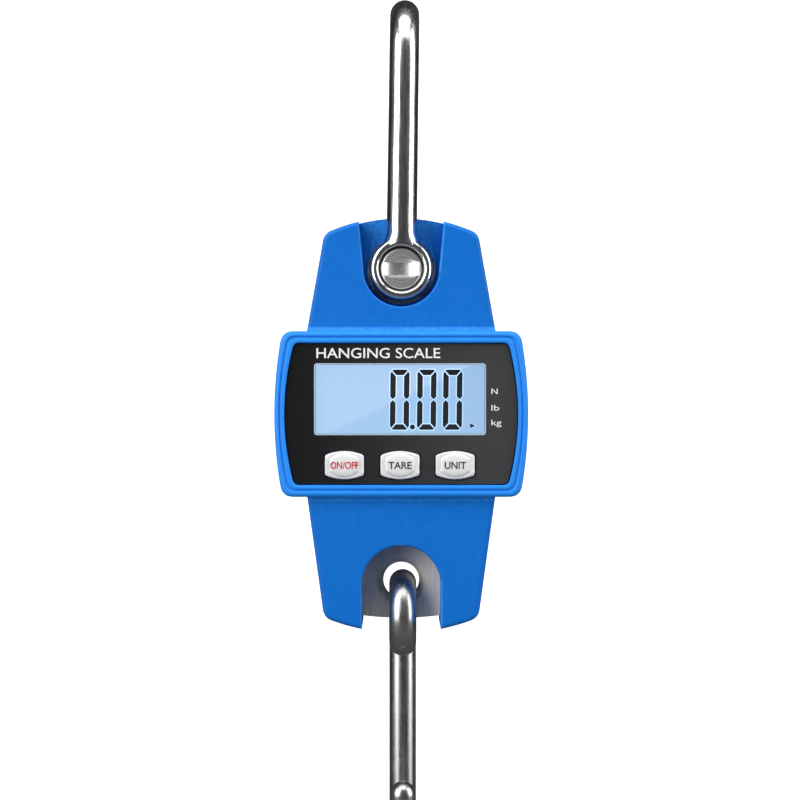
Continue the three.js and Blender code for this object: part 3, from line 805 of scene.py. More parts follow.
@dataclass(frozen=True)
class LensAcrylic(Finish):
    """Clear acrylic, backed with black except for the window.

    Attributes:
        window: left, low, right and high edges of the clear window, in metres.
    """

    window: tuple[float, float, float, float] = (0.0, 0.0, 0.0, 0.0)

    def paint(self, graph: Graph, place_at: Socket, tint: Socket) -> Socket:
        """Near black, with a painted reflection that makes it a little lighter towards the right."""
        left, _, right, _ = self.window
        across = graph.add("ShaderNodeSeparateXYZ", {0: place_at}).outputs["X"]
        # Lighter towards the right: a painted reflection.
        fade = graph.span(across, left * 1.5, right * 1.6, 0.0, 1.0)
        return graph.blend(fade, (0.007, 0.007, 0.0075, 1.0), (0.05, 0.05, 0.052, 1.0))

    def extras(self, graph: Graph, shader: Node, place_at: Socket) -> None:
        """Makes the window clear."""
        split = graph.add("ShaderNodeSeparateXYZ", {0: place_at})
        left, low, right, high = self.window
        inside = 1.0
        for socket, edge, sign in (
            (split.outputs["X"], left, 1), (split.outputs["X"], right, -1),
            (split.outputs["Z"], low, 1), (split.outputs["Z"], high, -1),
        ):
            distance = graph.math("MULTIPLY", graph.math("SUBTRACT", socket, edge), sign / 1.2e-4)
            inside = graph.math("MULTIPLY", inside, graph.add(
                "ShaderNodeClamp", {"Value": distance}).outputs[0])
        alpha = graph.math("SUBTRACT", 1.0, graph.math("MULTIPLY", inside, 0.94))
        graph.tree.links.new(alpha, shader.inputs["Alpha"])


@dataclass(frozen=True)
class LitPanel(Finish):
    """The display glass, lit pale blue from behind, with a painted reflection that makes it a little lighter
    above its long diagonal.

    Attributes:
        glow: strength of the light.
        lit: its colour below the diagonal, at the left.
        dim: its colour below the diagonal, at the right.
        painted_glare: its colour above the diagonal, a painted reflection.
        diagonal: where the diagonal meets the bottom, and how far it runs, as shares of the width.
        window: left, low, right and high edges of the lit area, in metres.
    """

    glow: float = 0.55
    lit: Colour = (0.4, 0.635, 0.96)
    dim: Colour = (0.36, 0.58, 0.88)
    painted_glare: Colour = (0.465, 0.68, 0.99)
    diagonal: Point = (0.066, 0.864)
    window: tuple[float, float, float, float] = (0.0, 0.0, 0.0, 0.0)

    def extras(self, graph: Graph, shader: Node, place_at: Socket) -> None:
        """Lights the panel."""
        split = graph.add("ShaderNodeSeparateXYZ", {0: place_at})
        left, low, right, high = self.window
        rise = graph.math("DIVIDE", graph.math("SUBTRACT", split.outputs["Z"], low), high - low)
        along = graph.math("DIVIDE", graph.math("SUBTRACT", split.outputs["X"], left), right - left)
        foot, slope = self.diagonal
        edge = graph.math("ADD", graph.math("MULTIPLY", rise, slope), foot)
        # Above the diagonal: a painted reflection.
        upper = graph.span(graph.math("SUBTRACT", edge, along), -0.01, 0.01, 0.0, 1.0)
        fade = graph.blend(graph.span(along, 0.1, 1.0, 0.0, 1.0), self.lit + (1.0,), self.dim + (1.0,))
        lit = graph.blend(upper, fade, self.painted_glare + (1.0,))
        graph.tree.links.new(lit, shader.inputs["Emission Color"])
        shader.inputs["Emission Strength"].default_value = self.glow


def window_in_metres() -> tuple[float, float, float, float]:
    """The clear window's edges in the frame, from the backlight behind it."""
    low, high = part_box("lcd_backlight")
    return low.x, low.z, high.x, high.z


WINDOW = window_in_metres()
# The blue's lighter edge colour and lighter bezel front are a painted highlight.
BLUE = MouldedBlue("moulded_blue", (0.0, 0.13, 0.53), 0.46, bump=8e-6, scale=1900.0, spread=0.1, tint=0.08,
                   wear_and_highlight=0.5, edge=(0.05, 0.34, 0.92), shine=0.2)
STEEL = DrawnMetal("bright_steel", (0.68, 0.68, 0.68), 0.2, spread=0.08, tint=0.06, bump=1.2e-6, scale=1500.0)
LOAD_STEEL = DrawnMetal("load_steel", (0.46, 0.45, 0.44), 0.3, spread=0.06, tint=0.05, bump=6e-7, scale=1500.0)
BOLT_STEEL = TurnedMetal("bolt_steel", (0.7, 0.7, 0.71), 0.33, metallic=0.9, spread=0.14, tint=0.16, bump=4e-6,
                         scale=4500.0, centre=(DATUM.eye.x, DATUM.eye.z))
CELL_METAL = DrawnMetal("brushed_cell", (0.95, 0.82, 0.66), 0.5, metallic=0.15, spread=0.14, tint=0.1,
                        bump=4e-6, scale=2200.0, wear_and_highlight=0.4, edge=(0.7, 0.7, 0.69))
ZINC = DrawnMetal("zinc_plate", (0.58, 0.6, 0.63), 0.28, spread=0.12, bump=3e-6, scale=3000.0)
BRASS = DrawnMetal("turned_brass", (0.55, 0.38, 0.14), 0.3, bump=3e-6)
LENS = LensAcrylic("smoked_acrylic", (0.01, 0.01, 0.01), 0.09, bump=1e-7, spread=0.04, coat=0.6, window=WINDOW)
LCD = LitPanel("lit_display", (0.04, 0.05, 0.06), 0.3, bump=1e-7, window=WINDOW, glow=1.0)
DIFFUSER = LitPanel("light_guide", (0.5, 0.65, 0.8), 0.5, bump=1e-6, window=WINDOW, glow=0.5)
FOAM = Finish("black_foam", (0.008, 0.008, 0.008), 0.85, bump=6e-5, scale=4000.0)
WHITE = Finish("white_plastic", (0.72, 0.72, 0.725), 0.32, bump=4e-6, scale=2600.0, tint=0.03, coat=0.2)
INK = Finish("display_ink", (0.008, 0.008, 0.01), 0.5, bump=1e-7)
MARKING = Finish("white_marking", (0.85, 0.85, 0.86), 0.5, bump=1e-7, tint=0.03)
PAPER = StudioPaper("white_paper", (0.88, 0.88, 0.88), 0.9, tint=0.01, bump=2e-5, scale=300.0)
HALO = LitPanel("display_rim", (0.06, 0.07, 0.08), 0.5, bump=1e-7, window=WINDOW, glow=1.75)
FRAME_PRINT = Finish("frame_print", (0.42, 0.55, 0.68), 0.4, bump=1e-7, tint=0.05)
RED_INK = Finish("red_legend", (0.6, 0.01, 0.03), 0.5, bump=1e-7)
DARK_INK = Finish("dark_legend", (0.03, 0.03, 0.04), 0.5, bump=1e-7)
BOARD_GREEN = Finish("solder_mask", (0.012, 0.1, 0.04), 0.35, bump=4e-6, scale=900.0, tint=0.25, coat=0.4)
CHIP = Finish("black_resin", (0.012, 0.012, 0.013), 0.6, bump=5e-6, scale=5000.0)
FOIL = Finish("gauge_film", (0.5, 0.24, 0.05), 0.35, bump=2e-6, scale=800.0)
CABLE = Finish("cable_jacket", (0.2, 0.2, 0.21), 0.55, bump=8e-6, scale=3500.0)
SLEEVE = Finish("printed_sleeve", (0.03, 0.06, 0.1), 0.3, bump=2e-6, coat=0.4, tint=0.2, scale=500.0)


# ---- geometry nodes ----


def geometry_tree(name: str, inputs: dict[str, str], body: Callable[[Graph, dict], Socket]
                  ) -> NodeTree:
    """Builds a geometry node tree that ends in Realize Instances and Set Material.

    Args:
        name: the tree's name.
        inputs: each input's name and socket type.
        body: lays the nodes and returns the geometry.

    Returns:
        The tree.
    """
    if name in bpy.data.node_groups:
        return bpy.data.node_groups[name]
    tree = bpy.data.node_groups.new(name, "GeometryNodeTree")
    tree.interface.new_socket("Geometry", in_out="INPUT", socket_type="NodeSocketGeometry")
    for label, kind in inputs.items():
        tree.interface.new_socket(label, in_out="INPUT", socket_type=kind)
    tree.interface.new_socket("Finish", in_out="INPUT", socket_type="NodeSocketMaterial")
    tree.interface.new_socket("Geometry", in_out="OUTPUT", socket_type="NodeSocketGeometry")
    graph = Graph(tree)
    start = graph.add("NodeGroupInput")
    given = {socket.name: socket for socket in start.outputs}
    shape = body(graph, given)
    real = graph.add("GeometryNodeRealizeInstances", {"Geometry": shape})
    dressed = graph.add("GeometryNodeSetMaterial", {"Geometry": real.outputs[0], "Material": given["Finish"]})
    end = graph.add("NodeGroupOutput")
    tree.links.new(dressed.outputs[0], end.inputs["Geometry"])
    return tree


def copies_at_points() -> NodeTree:
    """One item at every point, each turned about Y by a seeded angle."""

    def body(graph: Graph, given: dict) -> Socket:
        """Lays the copies."""
        item = graph.add("GeometryNodeObjectInfo", {"Object": given["Item"]})
        turn = graph.add("FunctionNodeRandomValue", {"Seed": given["Seed"]}, data_type="FLOAT")
        turn.inputs[3].default_value = math.tau
        angle = graph.add("ShaderNodeCombineXYZ", {"Y": turn.outputs[1]})
        return graph.add("GeometryNodeInstanceOnPoints", {
            "Points": given["Geometry"], "Instance": item.outputs["Geometry"], "Rotation": angle.outputs[0],
        }).outputs[0]

    return geometry_tree("copies_at_points", {"Item": "NodeSocketObject", "Seed": "NodeSocketInt"}, body)


def row_of_copies() -> NodeTree:
    """A straight row of one item."""

    def body(graph: Graph, given: dict) -> Socket:
        """Lays the row."""
        line = graph.add("GeometryNodeMeshLine", {
            "Count": given["Count"], "Start Location": given["Start"], "Offset": given["Step"],
        })
        item = graph.add("GeometryNodeObjectInfo", {"Object": given["Item"]})
        row = graph.add("GeometryNodeInstanceOnPoints", {
            "Points": line.outputs[0], "Instance": item.outputs["Geometry"],
        })
        both = graph.add("GeometryNodeJoinGeometry", {"Geometry": row.outputs[0]})
        graph.tree.links.new(given["Geometry"], both.inputs[0])
        return both.outputs[0]

    return geometry_tree("row_of_copies", {
        "Item": "NodeSocketObject", "Count": "NodeSocketInt",
        "Start": "NodeSocketVector", "Step": "NodeSocketVector",
    }, body)


def coil_wire() -> NodeTree:
    """A round wire wound as a tapering coil along Z."""

    def body(graph: Graph, given: dict) -> Socket:
        """Winds the wire."""
        coil = graph.add("GeometryNodeCurveSpiral", {
            "Resolution": 36, "Rotations": given["Turns"], "Start Radius": given["Start radius"],
            "End Radius": given["End radius"], "Height": given["Height"],
        })
        wire = graph.add("GeometryNodeCurvePrimitiveCircle", {"Resolution": 12, "Radius": given["Wire radius"]})
        return graph.add("GeometryNodeCurveToMesh", {
            "Curve": coil.outputs[0], "Profile Curve": wire.outputs[0], "Fill Caps": True,
        }).outputs[0]

    return geometry_tree("coil_wire", {
        "Turns": "NodeSocketFloat", "Start radius": "NodeSocketFloat", "End radius": "NodeSocketFloat",
        "Height": "NodeSocketFloat", "Wire radius": "NodeSocketFloat",
    }, body)


def grown(name: str, tree: NodeTree, values: dict, finish: "Finish",
          points: Sequence[Vector] = (), joined: bool = False) -> Object:
    """Runs a geometry node tree and keeps its result as plain mesh.

    Args:
        name: the object's name.
        tree: the tree.
        values: a value for each named input.
        finish: the finish that the tree sets.
        points: vertices that the tree starts from.
        joined: whether the vertices are joined in a row.

    Returns:
        The piece, in millimetres.
    """
    mesh = bpy.data.meshes.new(name)
    edges = [(k, k + 1) for k in range(len(points) - 1)] if joined else []
    mesh.from_pydata([tuple(p) for p in points], edges, [])
    piece = bpy.data.objects.new(name, mesh)
    bpy.context.scene.collection.objects.link(piece)
    modifier = piece.modifiers.new("grow", "NODES")
    modifier.node_group = tree
    for item in tree.interface.items_tree:
        if item.item_type == "SOCKET" and item.in_out == "INPUT":
            if item.name in values:
                modifier[item.identifier] = values[item.name]
            elif item.name == "Finish":
                modifier[item.identifier] = finish.material()
    settle(piece)
    return piece


def discard(piece: Object) -> None:
    """Removes a helper object."""
    bpy.data.objects.remove(piece)


# ---- casing ----


@dataclass(frozen=True)
class CasingSizes:
    """Sizes that the two covers and what is in them share, in millimetres.

    Attributes:
        half, bulge, half_tall, corner: the display block's outline.
        panel_half, panel_bulge, panel_half_tall, panel_corner: the recessed panel's outline.
        front, rear, wing_front, wing_rear, parting: depths of the faces and of the line where the covers meet.
        wall, inner_front, inner_rear, block_inner_rear, pocket_floor: the wall and the faces of the hollow.
        eye_z, channel: the hook's eye, and the channel's half width there, how much wider it gets and over
            what height.
        upper, lower: shoulder, end, height of the end, corner and crown of each wing.
        wing_edge, rear_edge: rounding of the outer edges.
        arch_radius, arch_z: the arch that the lower hook hangs through.
        rib: thickness of the walls round the channel and the arch.
        cover_screws, board_screws, cell_screws, lid_screw: places of the screws.
        screw_clear: radius of a screw's clearance hole.
        window: left, low, right and high edges of the display's window.
        button_x, button_z, button: middles of the buttons, and a button's half width, half side, corner
            and arch.
        play: gap round a button.
        beyond: how far an open outline runs past the edge that it cuts.
    """

    half: float = 38.2
    bulge: float = 2.55
    half_tall: float = 26.6
    corner: float = 3.6
    panel_half: float = 34.4
    panel_bulge: float = 3.1
    panel_half_tall: float = 22.8
    panel_corner: float = 1.8
    front: float = -18.5
    rear: float = 20.0
    wing_front: float = -16.0
    wing_rear: float = 16.0
    parting: float = 0.15
    wall: float = 2.2
    inner_front: float = -13.0
    inner_rear: float = 13.0
    block_inner_rear: float = 17.6
    pocket_floor: float = -14.9
    eye_z: float = 46.8
    channel: tuple[float, float, float] = (12.2, 1.6, 16.2)
    upper: tuple[float, float, float, float, float] = (30.4, 24.8, 58.1, 5.6, 2.2)
    lower: tuple[float, float, float, float, float] = (30.3, 24.9, 65.6, 5.0, 2.6)
    wing_edge: float = 1.3
    rear_edge: float = 2.2
    arch_radius: float = 12.7
    arch_z: float = -55.1
    rib: float = 1.8
    cover_screws: tuple[Point, ...] = ((-21.6, 40.0), (21.6, 40.0), (-21.6, -42.0), (21.6, -42.0))
    board_screws: tuple[Point, ...] = ((-30.0, 18.4), (30.0, 18.4), (-30.0, -18.4), (30.0, -18.4))
    cell_screws: tuple[Point, ...] = ((0.0, 26.5), (0.0, -26.5))
    lid_screw: Point = (0.0, -20.6)
    screw_clear: float = 1.75
    window: tuple[float, float, float, float] = (-27.6, -6.4, 26.8, 15.9)
    button_x: tuple[float, float, float] = (-18.2, -0.4, 17.3)
    button_z: float = -16.4
    button: tuple[float, float, float, float] = (6.25, 3.2, 0.75, 1.35)
    play: float = 0.35
    beyond: float = 30.0

    def block_outline(self, inset: float = 0.0) -> list[Point]:
        """The display block's outline, drawn in by an amount."""
        corner = max(self.corner - inset, 0.6)
        return bowed(self.half - inset, self.bulge, self.half_tall - inset, corner)

    def panel_outline(self, inset: float = 0.0) -> list[Point]:
        """The recessed panel's outline, drawn in by an amount."""
        corner = max(self.panel_corner - inset, 0.6)
        return bowed(self.panel_half - inset, self.panel_bulge, self.panel_half_tall - inset, corner)

    def bezel_outline(self, t: float) -> list[Point]:
        """An outline between the block's (0) and the panel's (1)."""
        outer, inner = self.block_outline(), self.panel_outline()
        return [(a[0] + (b[0] - a[0]) * t, a[1] + (b[1] - a[1]) * t) for a, b in zip(outer, inner)]

    def wing_outline(self, up: int, inset: float = 0.0) -> list[Point]:
        """The tapering wing above (up = 1) or below (up = -1) the block."""
        shoulder, end, end_z, crown, corner = self.upper if up > 0 else self.lower
        x, x_end, z, radius = shoulder - inset, end - inset, end_z - inset, max(corner - inset, 0.6)
        if up > 0:
            return outline([(-x, 0, 0, 0), (x, 0, 0, 0), (x, self.half_tall, 0, 0), (x_end, z, radius, crown),
                            (-x_end, z, radius, 0), (-x, self.half_tall, 0, 0)])
        return outline([(-x, -self.half_tall, 0, 0), (-x_end, -z, radius, crown), (x_end, -z, radius, 0),
                        (x, -self.half_tall, 0, 0), (x, 0, 0, 0), (-x, 0, 0, 0)])

    def channel_outline(self, grow: float = 0.0) -> list[Point]:
        """The channel that the hook swings in: round at the eye and flaring upwards."""
        end, wider, over = self.channel
        end, top = end + grow, self.eye_z + self.beyond
        mouth = end + wider * self.beyond / over
        turns = [math.pi + math.pi * k / 48 for k in range(49)]
        round_end = [(end * math.cos(a), self.eye_z + end * math.sin(a)) for a in turns]
        return round_end + [(mouth, top), (-mouth, top)]

    def arch_outline(self, grow: float = 0.0) -> list[Point]:
        """The arch in the lower edge, open downwards."""
        radius, foot = self.arch_radius + grow, self.arch_z - self.beyond
        turns = [math.pi * k / 48 for k in range(49)]
        round_top = [(radius * math.cos(a), self.arch_z + radius * math.sin(a)) for a in turns]
        return round_top + [(-radius, foot), (radius, foot)]

    def button_outline(self, x: float, grow: float = 0.0) -> list[Point]:
        """A button's outline: upright sides, arched top and bottom."""
        half, side, corner, arch = self.button
        half, side = half + grow, side + grow
        low, high = self.button_z - side, self.button_z + side
        return outline([(x - half, low, corner, arch), (x + half, low, corner, 0),
                        (x + half, high, corner, arch), (x - half, high, corner, 0)])


SIZES = CasingSizes()


def lipped(shape: Callable[[float], list[Point]], face: float, floor: float, lip: float) -> Object:
    """A cutter from a face down to a floor that leaves a rounded lip.

    Args:
        shape: gives the outline grown by an amount.
        face: depth of the face that is cut.
        floor: how deep the cut goes.
        lip: size of the rounded lip.

    Returns:
        The cutter.
    """
    inwards = 1 if floor > face else -1
    clear = 4.0
    rings = [(shape(0.0), floor)]
    rings += [(shape(lip * (1 - math.cos(a))), face + inwards * lip * (1 - math.sin(a))) for a in quarter(5)]
    rings.append((shape(lip), face - inwards * clear))
    return loft("cut", rings)


@dataclass
class Covers:
    """The blue front and rear covers.

    Attributes:
        sizes: the shared sizes.
        bezel: distance in from the outer edge and depth of each step of the raised bezel.
        channel_floor: depth of the hook's channel.
        lip: rounding of the channel's and the arch's lips.
        well: radius and floor of the screw wells.
        posts: radii of the covers' screw posts, front and rear, and of the board's and the load cell's.
        slot: half depth of the gap round the load cell in the arch's walls.
        bay: half width, half height and floor of the battery bay.
        door: half width, top, bottom and depth of the door's recess.
    """

    sizes: CasingSizes = SIZES
    bezel: tuple[Point, ...] = (
        (0.0, -17.2), (0.1, -17.7), (0.38, -18.12), (0.8, -18.4), (1.3, -18.5), (1.5, -18.44), (1.72, -18.14),
        (2.05, -17.96), (2.4, -18.1), (2.62, -18.4), (2.85, -18.5), (3.3, -18.5), (3.62, -18.36), (3.8, -18.05),
    )
    channel_floor: float = -7.2
    lip: float = 0.75
    well: Point = (3.3, 8.0)
    posts: tuple[float, float, float, float] = (3.5, 4.7, 2.4, 4.0)
    slot: float = 3.7
    bay: tuple[float, float, float] = (25.3, 16.6, 7.0)
    door: tuple[float, float, float, float] = (28.95, 18.95, -23.95, 18.1)

    def wing(self, up: int, back: float, face: float) -> Object:
        """A wing with a rounded outer edge.

        Args:
            up: 1 for the upper wing and -1 for the lower.
            back: depth of its flat side at the parting line.
            face: depth of its outer face.

        Returns:
            The solid.
        """
        inwards = 1 if face < back else -1
        edge = self.sizes.wing_edge
        rings = [(self.sizes.wing_outline(up), back)]
        rings += [(self.sizes.wing_outline(up, edge * (1 - math.cos(a))),
                   face + inwards * edge * (1 - math.sin(a))) for a in quarter(5)]
        return loft("wing", rings)

    def hollow(self, front: float, back: float, keeps: Sequence[Object]) -> Object:
        """The hollow inside, with what stands in it left out."""
        middle = slab(self.sizes.block_outline(self.sizes.wall), front, back)
        wings = [slab(self.sizes.wing_outline(up, self.sizes.wall), front, back) for up in (1, -1)]
        return carve(carve(middle, wings, Cut.JOIN), keeps)

    def bosses(self, places: Sequence[Point], radius: float, front: float, back: float) -> list[Object]:
        """Round posts."""
        return [disc(x, z, radius, front, back) for x, z in places]

    def fillet(self, up: int, size: float = 1.5) -> Object:
        """The small hollow run between a wing's face and the block's edge.

        Args:
            up: 1 above the block and -1 below it.
            size: its size.

        Returns:
            The solid.
        """
        s = self.sizes
        face, edge, sunk = s.wing_front, up * s.half_tall, 0.6
        curve = [(face - size * (1 - math.sin(a)), edge + up * size * (1 - math.cos(a))) for a in quarter(8)]
        profile = curve + [(face + sunk, edge + up * size), (face + sunk, edge - up * sunk),
                           (face - size, edge - up * sunk)]
        reach = (s.upper if up > 0 else s.lower)[0] - 0.35
        strip = loft("fillet", [(profile, -reach), (profile, reach)])
        strip.data.transform(Matrix(((0, -1, 0, 0), (1, 0, 0, 0), (0, 0, 1, 0), (0, 0, 0, 1))))
        return strip

    def front(self) -> Object:
        """The front cover.

        Returns:
            The finished cover.
        """
        s = self.sizes
        width = s.half - s.panel_half
        rings = [(s.block_outline(), -s.parting)]
        rings += [(s.bezel_outline(d / width), y) for d, y in self.bezel]
        rings.append((s.bezel_outline(1.0), s.pocket_floor))
        cover = loft("front", rings)
        carve(cover, [self.wing(up, -s.parting, s.wing_front) for up in (1, -1)], Cut.JOIN)
        carve(cover, [self.fillet(up) for up in (1, -1)], Cut.JOIN)
        cover_post, _, board_post, _ = self.posts
        channel_back, board_seat, eye_hole, frame_room = -5.6, -8.2, 11.0, 1.3
        keeps = [slab(s.channel_outline(s.rib), -FAR, channel_back),
                 slab(s.arch_outline(s.rib), -FAR, -self.slot)]
        keeps += self.bosses(s.cover_screws, cover_post, s.inner_front - 1, -s.parting)
        keeps += self.bosses(s.board_screws, board_post, s.inner_front - 1, board_seat)
        left, low, right, high = s.window
        opening = rectangle(left - frame_room, low - frame_room, right + frame_room, high + frame_room, 0.4)
        cuts = [
            self.hollow(s.inner_front, 1.0, keeps),
            lipped(s.channel_outline, s.wing_front, self.channel_floor, self.lip),
            disc(0, s.eye_z, eye_hole, -FAR, -1.0, 72),
            lipped(s.arch_outline, s.wing_front, 5.0, self.lip),
            slab(opening, -FAR, FAR),
        ]
        cuts += [slab(s.button_outline(x, s.play), -FAR, FAR) for x in s.button_x]
        cuts += self.bosses(s.cover_screws, s.screw_clear, s.inner_front + 2, FAR)
        cuts += self.bosses(s.board_screws, 1.3, s.inner_front + 1, FAR)
        carve(cover, cuts)
        return place(cover, "front_shell", BLUE, ["front_cover"], 28.0)

    def rear(self) -> Object:
        """The rear cover with its battery bay and screw wells.

        Returns:
            The finished cover.
        """
        s = self.sizes
        edge = s.rear_edge
        rings = [(s.block_outline(), s.parting)]
        rings += [(s.block_outline(edge * (1 - math.cos(a))), s.rear - edge * (1 - math.sin(a)))
                  for a in quarter(6)]
        cover = loft("rear", rings)
        carve(cover, [self.wing(up, s.parting, s.wing_rear) for up in (1, -1)], Cut.JOIN)
        half, tall, floor = self.bay
        wide, high, low, seat = self.door
        _, cover_post, _, cell_post = self.posts
        wall, cup, cup_post, cup_floor, cell_seat = 1.4, 4.45, 5.4, 16.05, 5.3
        well, well_floor = self.well

        def keeps() -> list[Object]:
            """What stands in the hollow."""
            shapes = [slab(s.arch_outline(s.rib), self.slot, FAR),
                      disc(*s.lid_screw, cup_post, s.inner_rear - 3, s.rear),
                      box((-half - wall, floor - wall, -tall - wall), (half + wall, s.rear, tall + wall))]
            shapes += self.bosses(s.cover_screws, cover_post, s.parting, s.wing_rear)
            shapes += self.bosses(s.cell_screws, cell_post, cell_seat, s.inner_rear + 1)
            return shapes

        cuts = [
            self.hollow(-1.0, s.inner_rear, keeps()),
            carve(slab(s.block_outline(s.wall), s.inner_rear - 1, s.block_inner_rear), keeps()),
            lipped(s.arch_outline, s.wing_rear, -5.0, self.lip),
            box((-half, floor, -tall), (half, FAR, tall)),
            slab(rectangle(-wide, low, wide, high, 2.4), seat, FAR),
            disc(*s.lid_screw, s.screw_clear, s.inner_rear - 1.5, FAR),
            disc(*s.lid_screw, cup, cup_floor, FAR, 64),
        ]
        cuts += self.bosses(s.cover_screws, s.screw_clear, -FAR, FAR)
        cuts += [lipped(lambda grow, x=x, z=z: circle(x, z, well + grow), s.wing_rear, well_floor, 0.35)
                 for x, z in s.cover_screws]
        cuts += self.bosses(s.cell_screws, s.screw_clear, 0.0, s.inner_rear - 1)
        carve(cover, cuts)
        return place(cover, "rear_shell", BLUE, ["rear_cover"], 28.0)


# ---- display ----


def wording(name: str, style: Lettering, body: str, at: tuple[float, float, float], finish: Finish, rider: str,
            height: float = 0.0, width: float = 0.0, centred: bool = True) -> Object:
    """Plain lettering as thin raised print.

    Args:
        name: the piece's name.
        style: which wording it is.
        body: the words.
        at: x, depth and z of its left end, or of its middle when centred.
        finish: its ink.
        rider: the body that it rides on.
        height: letter height in millimetres, or nought to keep the style's own.
        width: overall width in millimetres, or nought to keep the letters' own.
        centred: whether the words are centred on the place.

    Returns:
        The print.
    """
    curve = bpy.data.curves.new(name, "FONT")
    curve.body = body
    curve.size, curve.offset = style.value
    curve.resolution_u = 5
    curve.extrude = 0.02
    helper = bpy.data.objects.new(name + "_curve", curve)
    bpy.context.scene.collection.objects.link(helper)
    graph = bpy.context.evaluated_depsgraph_get()
    mesh = bpy.data.meshes.new_from_object(helper.evaluated_get(graph))
    discard(helper)
    low = [min(v.co[k] for v in mesh.vertices) for k in range(2)]
    high = [max(v.co[k] for v in mesh.vertices) for k in range(2)]
    tall = height / (high[1] - low[1]) if height else 1.0
    wide = width / (high[0] - low[0]) if width else tall
    start = (low[0] + high[0]) / 2 if centred else low[0]
    middle = (low[1] + high[1]) / 2 if centred else low[1]
    stand = Matrix.Rotation(math.pi / 2, 4, "X")
    fit = Matrix.Diagonal((wide, tall, 1.0, 1.0)) @ Matrix.Translation((-start, -middle, 0.0))
    mesh.transform(Matrix.Translation(at) @ stand @ fit)
    bm = bmesh.new()
    bm.from_mesh(mesh)
    bpy.data.meshes.remove(mesh)
    return place(to_object(name, bm), name, finish, (), 20.0, rider)


@dataclass
class Display:
    """The lens, the display glass and what it shows.

    Attributes:
        sizes: the shared sizes.
        lens: front and back depth of the lens.
        ink: depth of the lit segments.
        digits: left edge of each nought.
        digit: width, top, bottom and stroke of a digit.
        slant: how far a digit leans for each millimetre of height.
        units: name, unit, height and width of each unit mark.
    """

    sizes: CasingSizes = SIZES
    lens: Point = (-17.4, -15.9)
    ink: float = -14.66
    digits: tuple[float, ...] = (-3.6, 5.1, 13.45)
    digit: tuple[float, float, float, float] = (6.2, 14.3, -5.1, 1.8)
    slant: float = 0.012
    units: tuple[tuple[str, str, float, float], ...] = (
        ("newton", "N", 6.4, 2.0), ("pound", "lb", 1.1, 2.5), ("kilogram", "kg", -4.2, 3.2))

    def glass(self) -> Object:
        """The lens, with a small polished edge and the buttons' openings."""
        s = self.sizes
        front, back = self.lens
        plate = loft("lens", [(s.panel_outline(0.3), back), (s.panel_outline(0.3), front + 0.2),
                              (s.panel_outline(0.36), front + 0.06), (s.panel_outline(0.5), front)])
        carve(plate, [slab(s.button_outline(x, s.play), -FAR, FAR) for x in s.button_x])
        return place(plate, "display_window", LENS, ["display_lens"], 25.0)

    def segments(self, left: float, grow: float = 0.0) -> list[list[Point]]:
        """The six lit strokes of a nought, mitred where they meet.

        Args:
            left: left edge of the digit.
            grow: how far each stroke is fattened.

        Returns:
            The outline of each stroke.
        """
        wide, high, low, stroke = self.digit
        middle, half = (high + low) / 2, (high - low) / 2
        g = grow
        bar = [(1.0 - g, half + g), (0.62 - g, half - 0.3 + g), (1.95 - g * 0.4, half - stroke - g)]
        post = [(stroke + g, half - stroke - 0.4 + g * 0.4), (0.42 - g * 0.5, half - 0.62 + g),
                (-g, half - 1.3), (-g, 1.0), (stroke / 2 - 0.15, 0.22 - g),
                (stroke / 2 + 0.15, 0.22 - g), (stroke + g, 1.1)]
        cross = bar + [(wide - x, z) for x, z in reversed(bar)]
        strokes = [cross, [(x, -z) for x, z in cross]]
        for shape in (post, [(wide - x, z) for x, z in post]):
            strokes += [shape, [(x, -z) for x, z in shape]]
        return [[(left + x + z * self.slant, middle + z) for x, z in shape] for shape in strokes]

    def shown(self) -> list[Object]:
        """The noughts, the point and the arrow, with the pale rim round each stroke."""
        pieces = []
        for label, grow, depth, finish in (("halo", 0.28, self.ink + 0.025, HALO), ("ink", 0.0, self.ink, INK)):
            bm = bmesh.new()
            shapes = [stroke for left in self.digits for stroke in self.segments(left, grow)]
            shapes.append(circle(3.6, -4.2, 0.85 + grow, 20))
            shapes.append([(22.2, -4.6 - grow), (23.9 + grow, -3.8), (22.2, -3.0 + grow)])
            for shape in shapes:
                front = [bm.verts.new((x, depth, z)) for x, z in shape]
                back = [bm.verts.new((x, depth + 0.03, z)) for x, z in shape]
                bm.faces.new(front)
                bm.faces.new(back)
                bridge(bm, front, back)
            pieces.append(place(to_object("shown", bm), f"digits_{label}", finish, (), 20.0))
        return pieces

    def border(self) -> Object:
        """The thin pale frame printed round the window."""
        left, low, right, high = self.sizes.window
        frame_print = slab(rectangle(left - 0.35, low - 0.35, right + 0.35, high + 0.35, 1.1), -17.44, -17.39)
        carve(frame_print, [slab(rectangle(left, low, right, high, 0.9), -FAR, FAR)])
        return place(frame_print, "window_frame", FRAME_PRINT, (), 20.0)

    def print(self) -> None:
        """The title and the three unit marks."""
        face = self.lens[0] - 0.02
        wording("title_print", Lettering.TITLE, "HANGING SCALE", (-27.2, face, 17.9), MARKING, "housing",
                3.3, 39.7, False)
        for label, unit, z, width in self.units:
            wording(f"{label}_mark", Lettering.UNIT, unit, (28.9, face, z), MARKING, "housing",
                    0.0, width, False)

    def pins(self) -> Object:
        """The row of display pins down to the board."""
        pin = box((-0.2, -12.4, -8.4), (0.2, -7.8, -8.1))
        row = grown("display_pins", row_of_copies(), {
            "Item": pin, "Count": 18, "Start": (-22.0, 0.0, 0.0), "Step": (2.54, 0.0, 0.0)}, ZINC)
        discard(pin)
        return place(row, "display_pins", ZINC, (), 20.0)

    def build(self) -> None:
        """Makes the whole display."""
        self.glass()
        self.border()
        self.shown()
        self.print()
        self.pins()
        dress("lens_gasket", FOAM)
        dress("lcd_glass", LCD)
        dress("lcd_backlight", DIFFUSER)


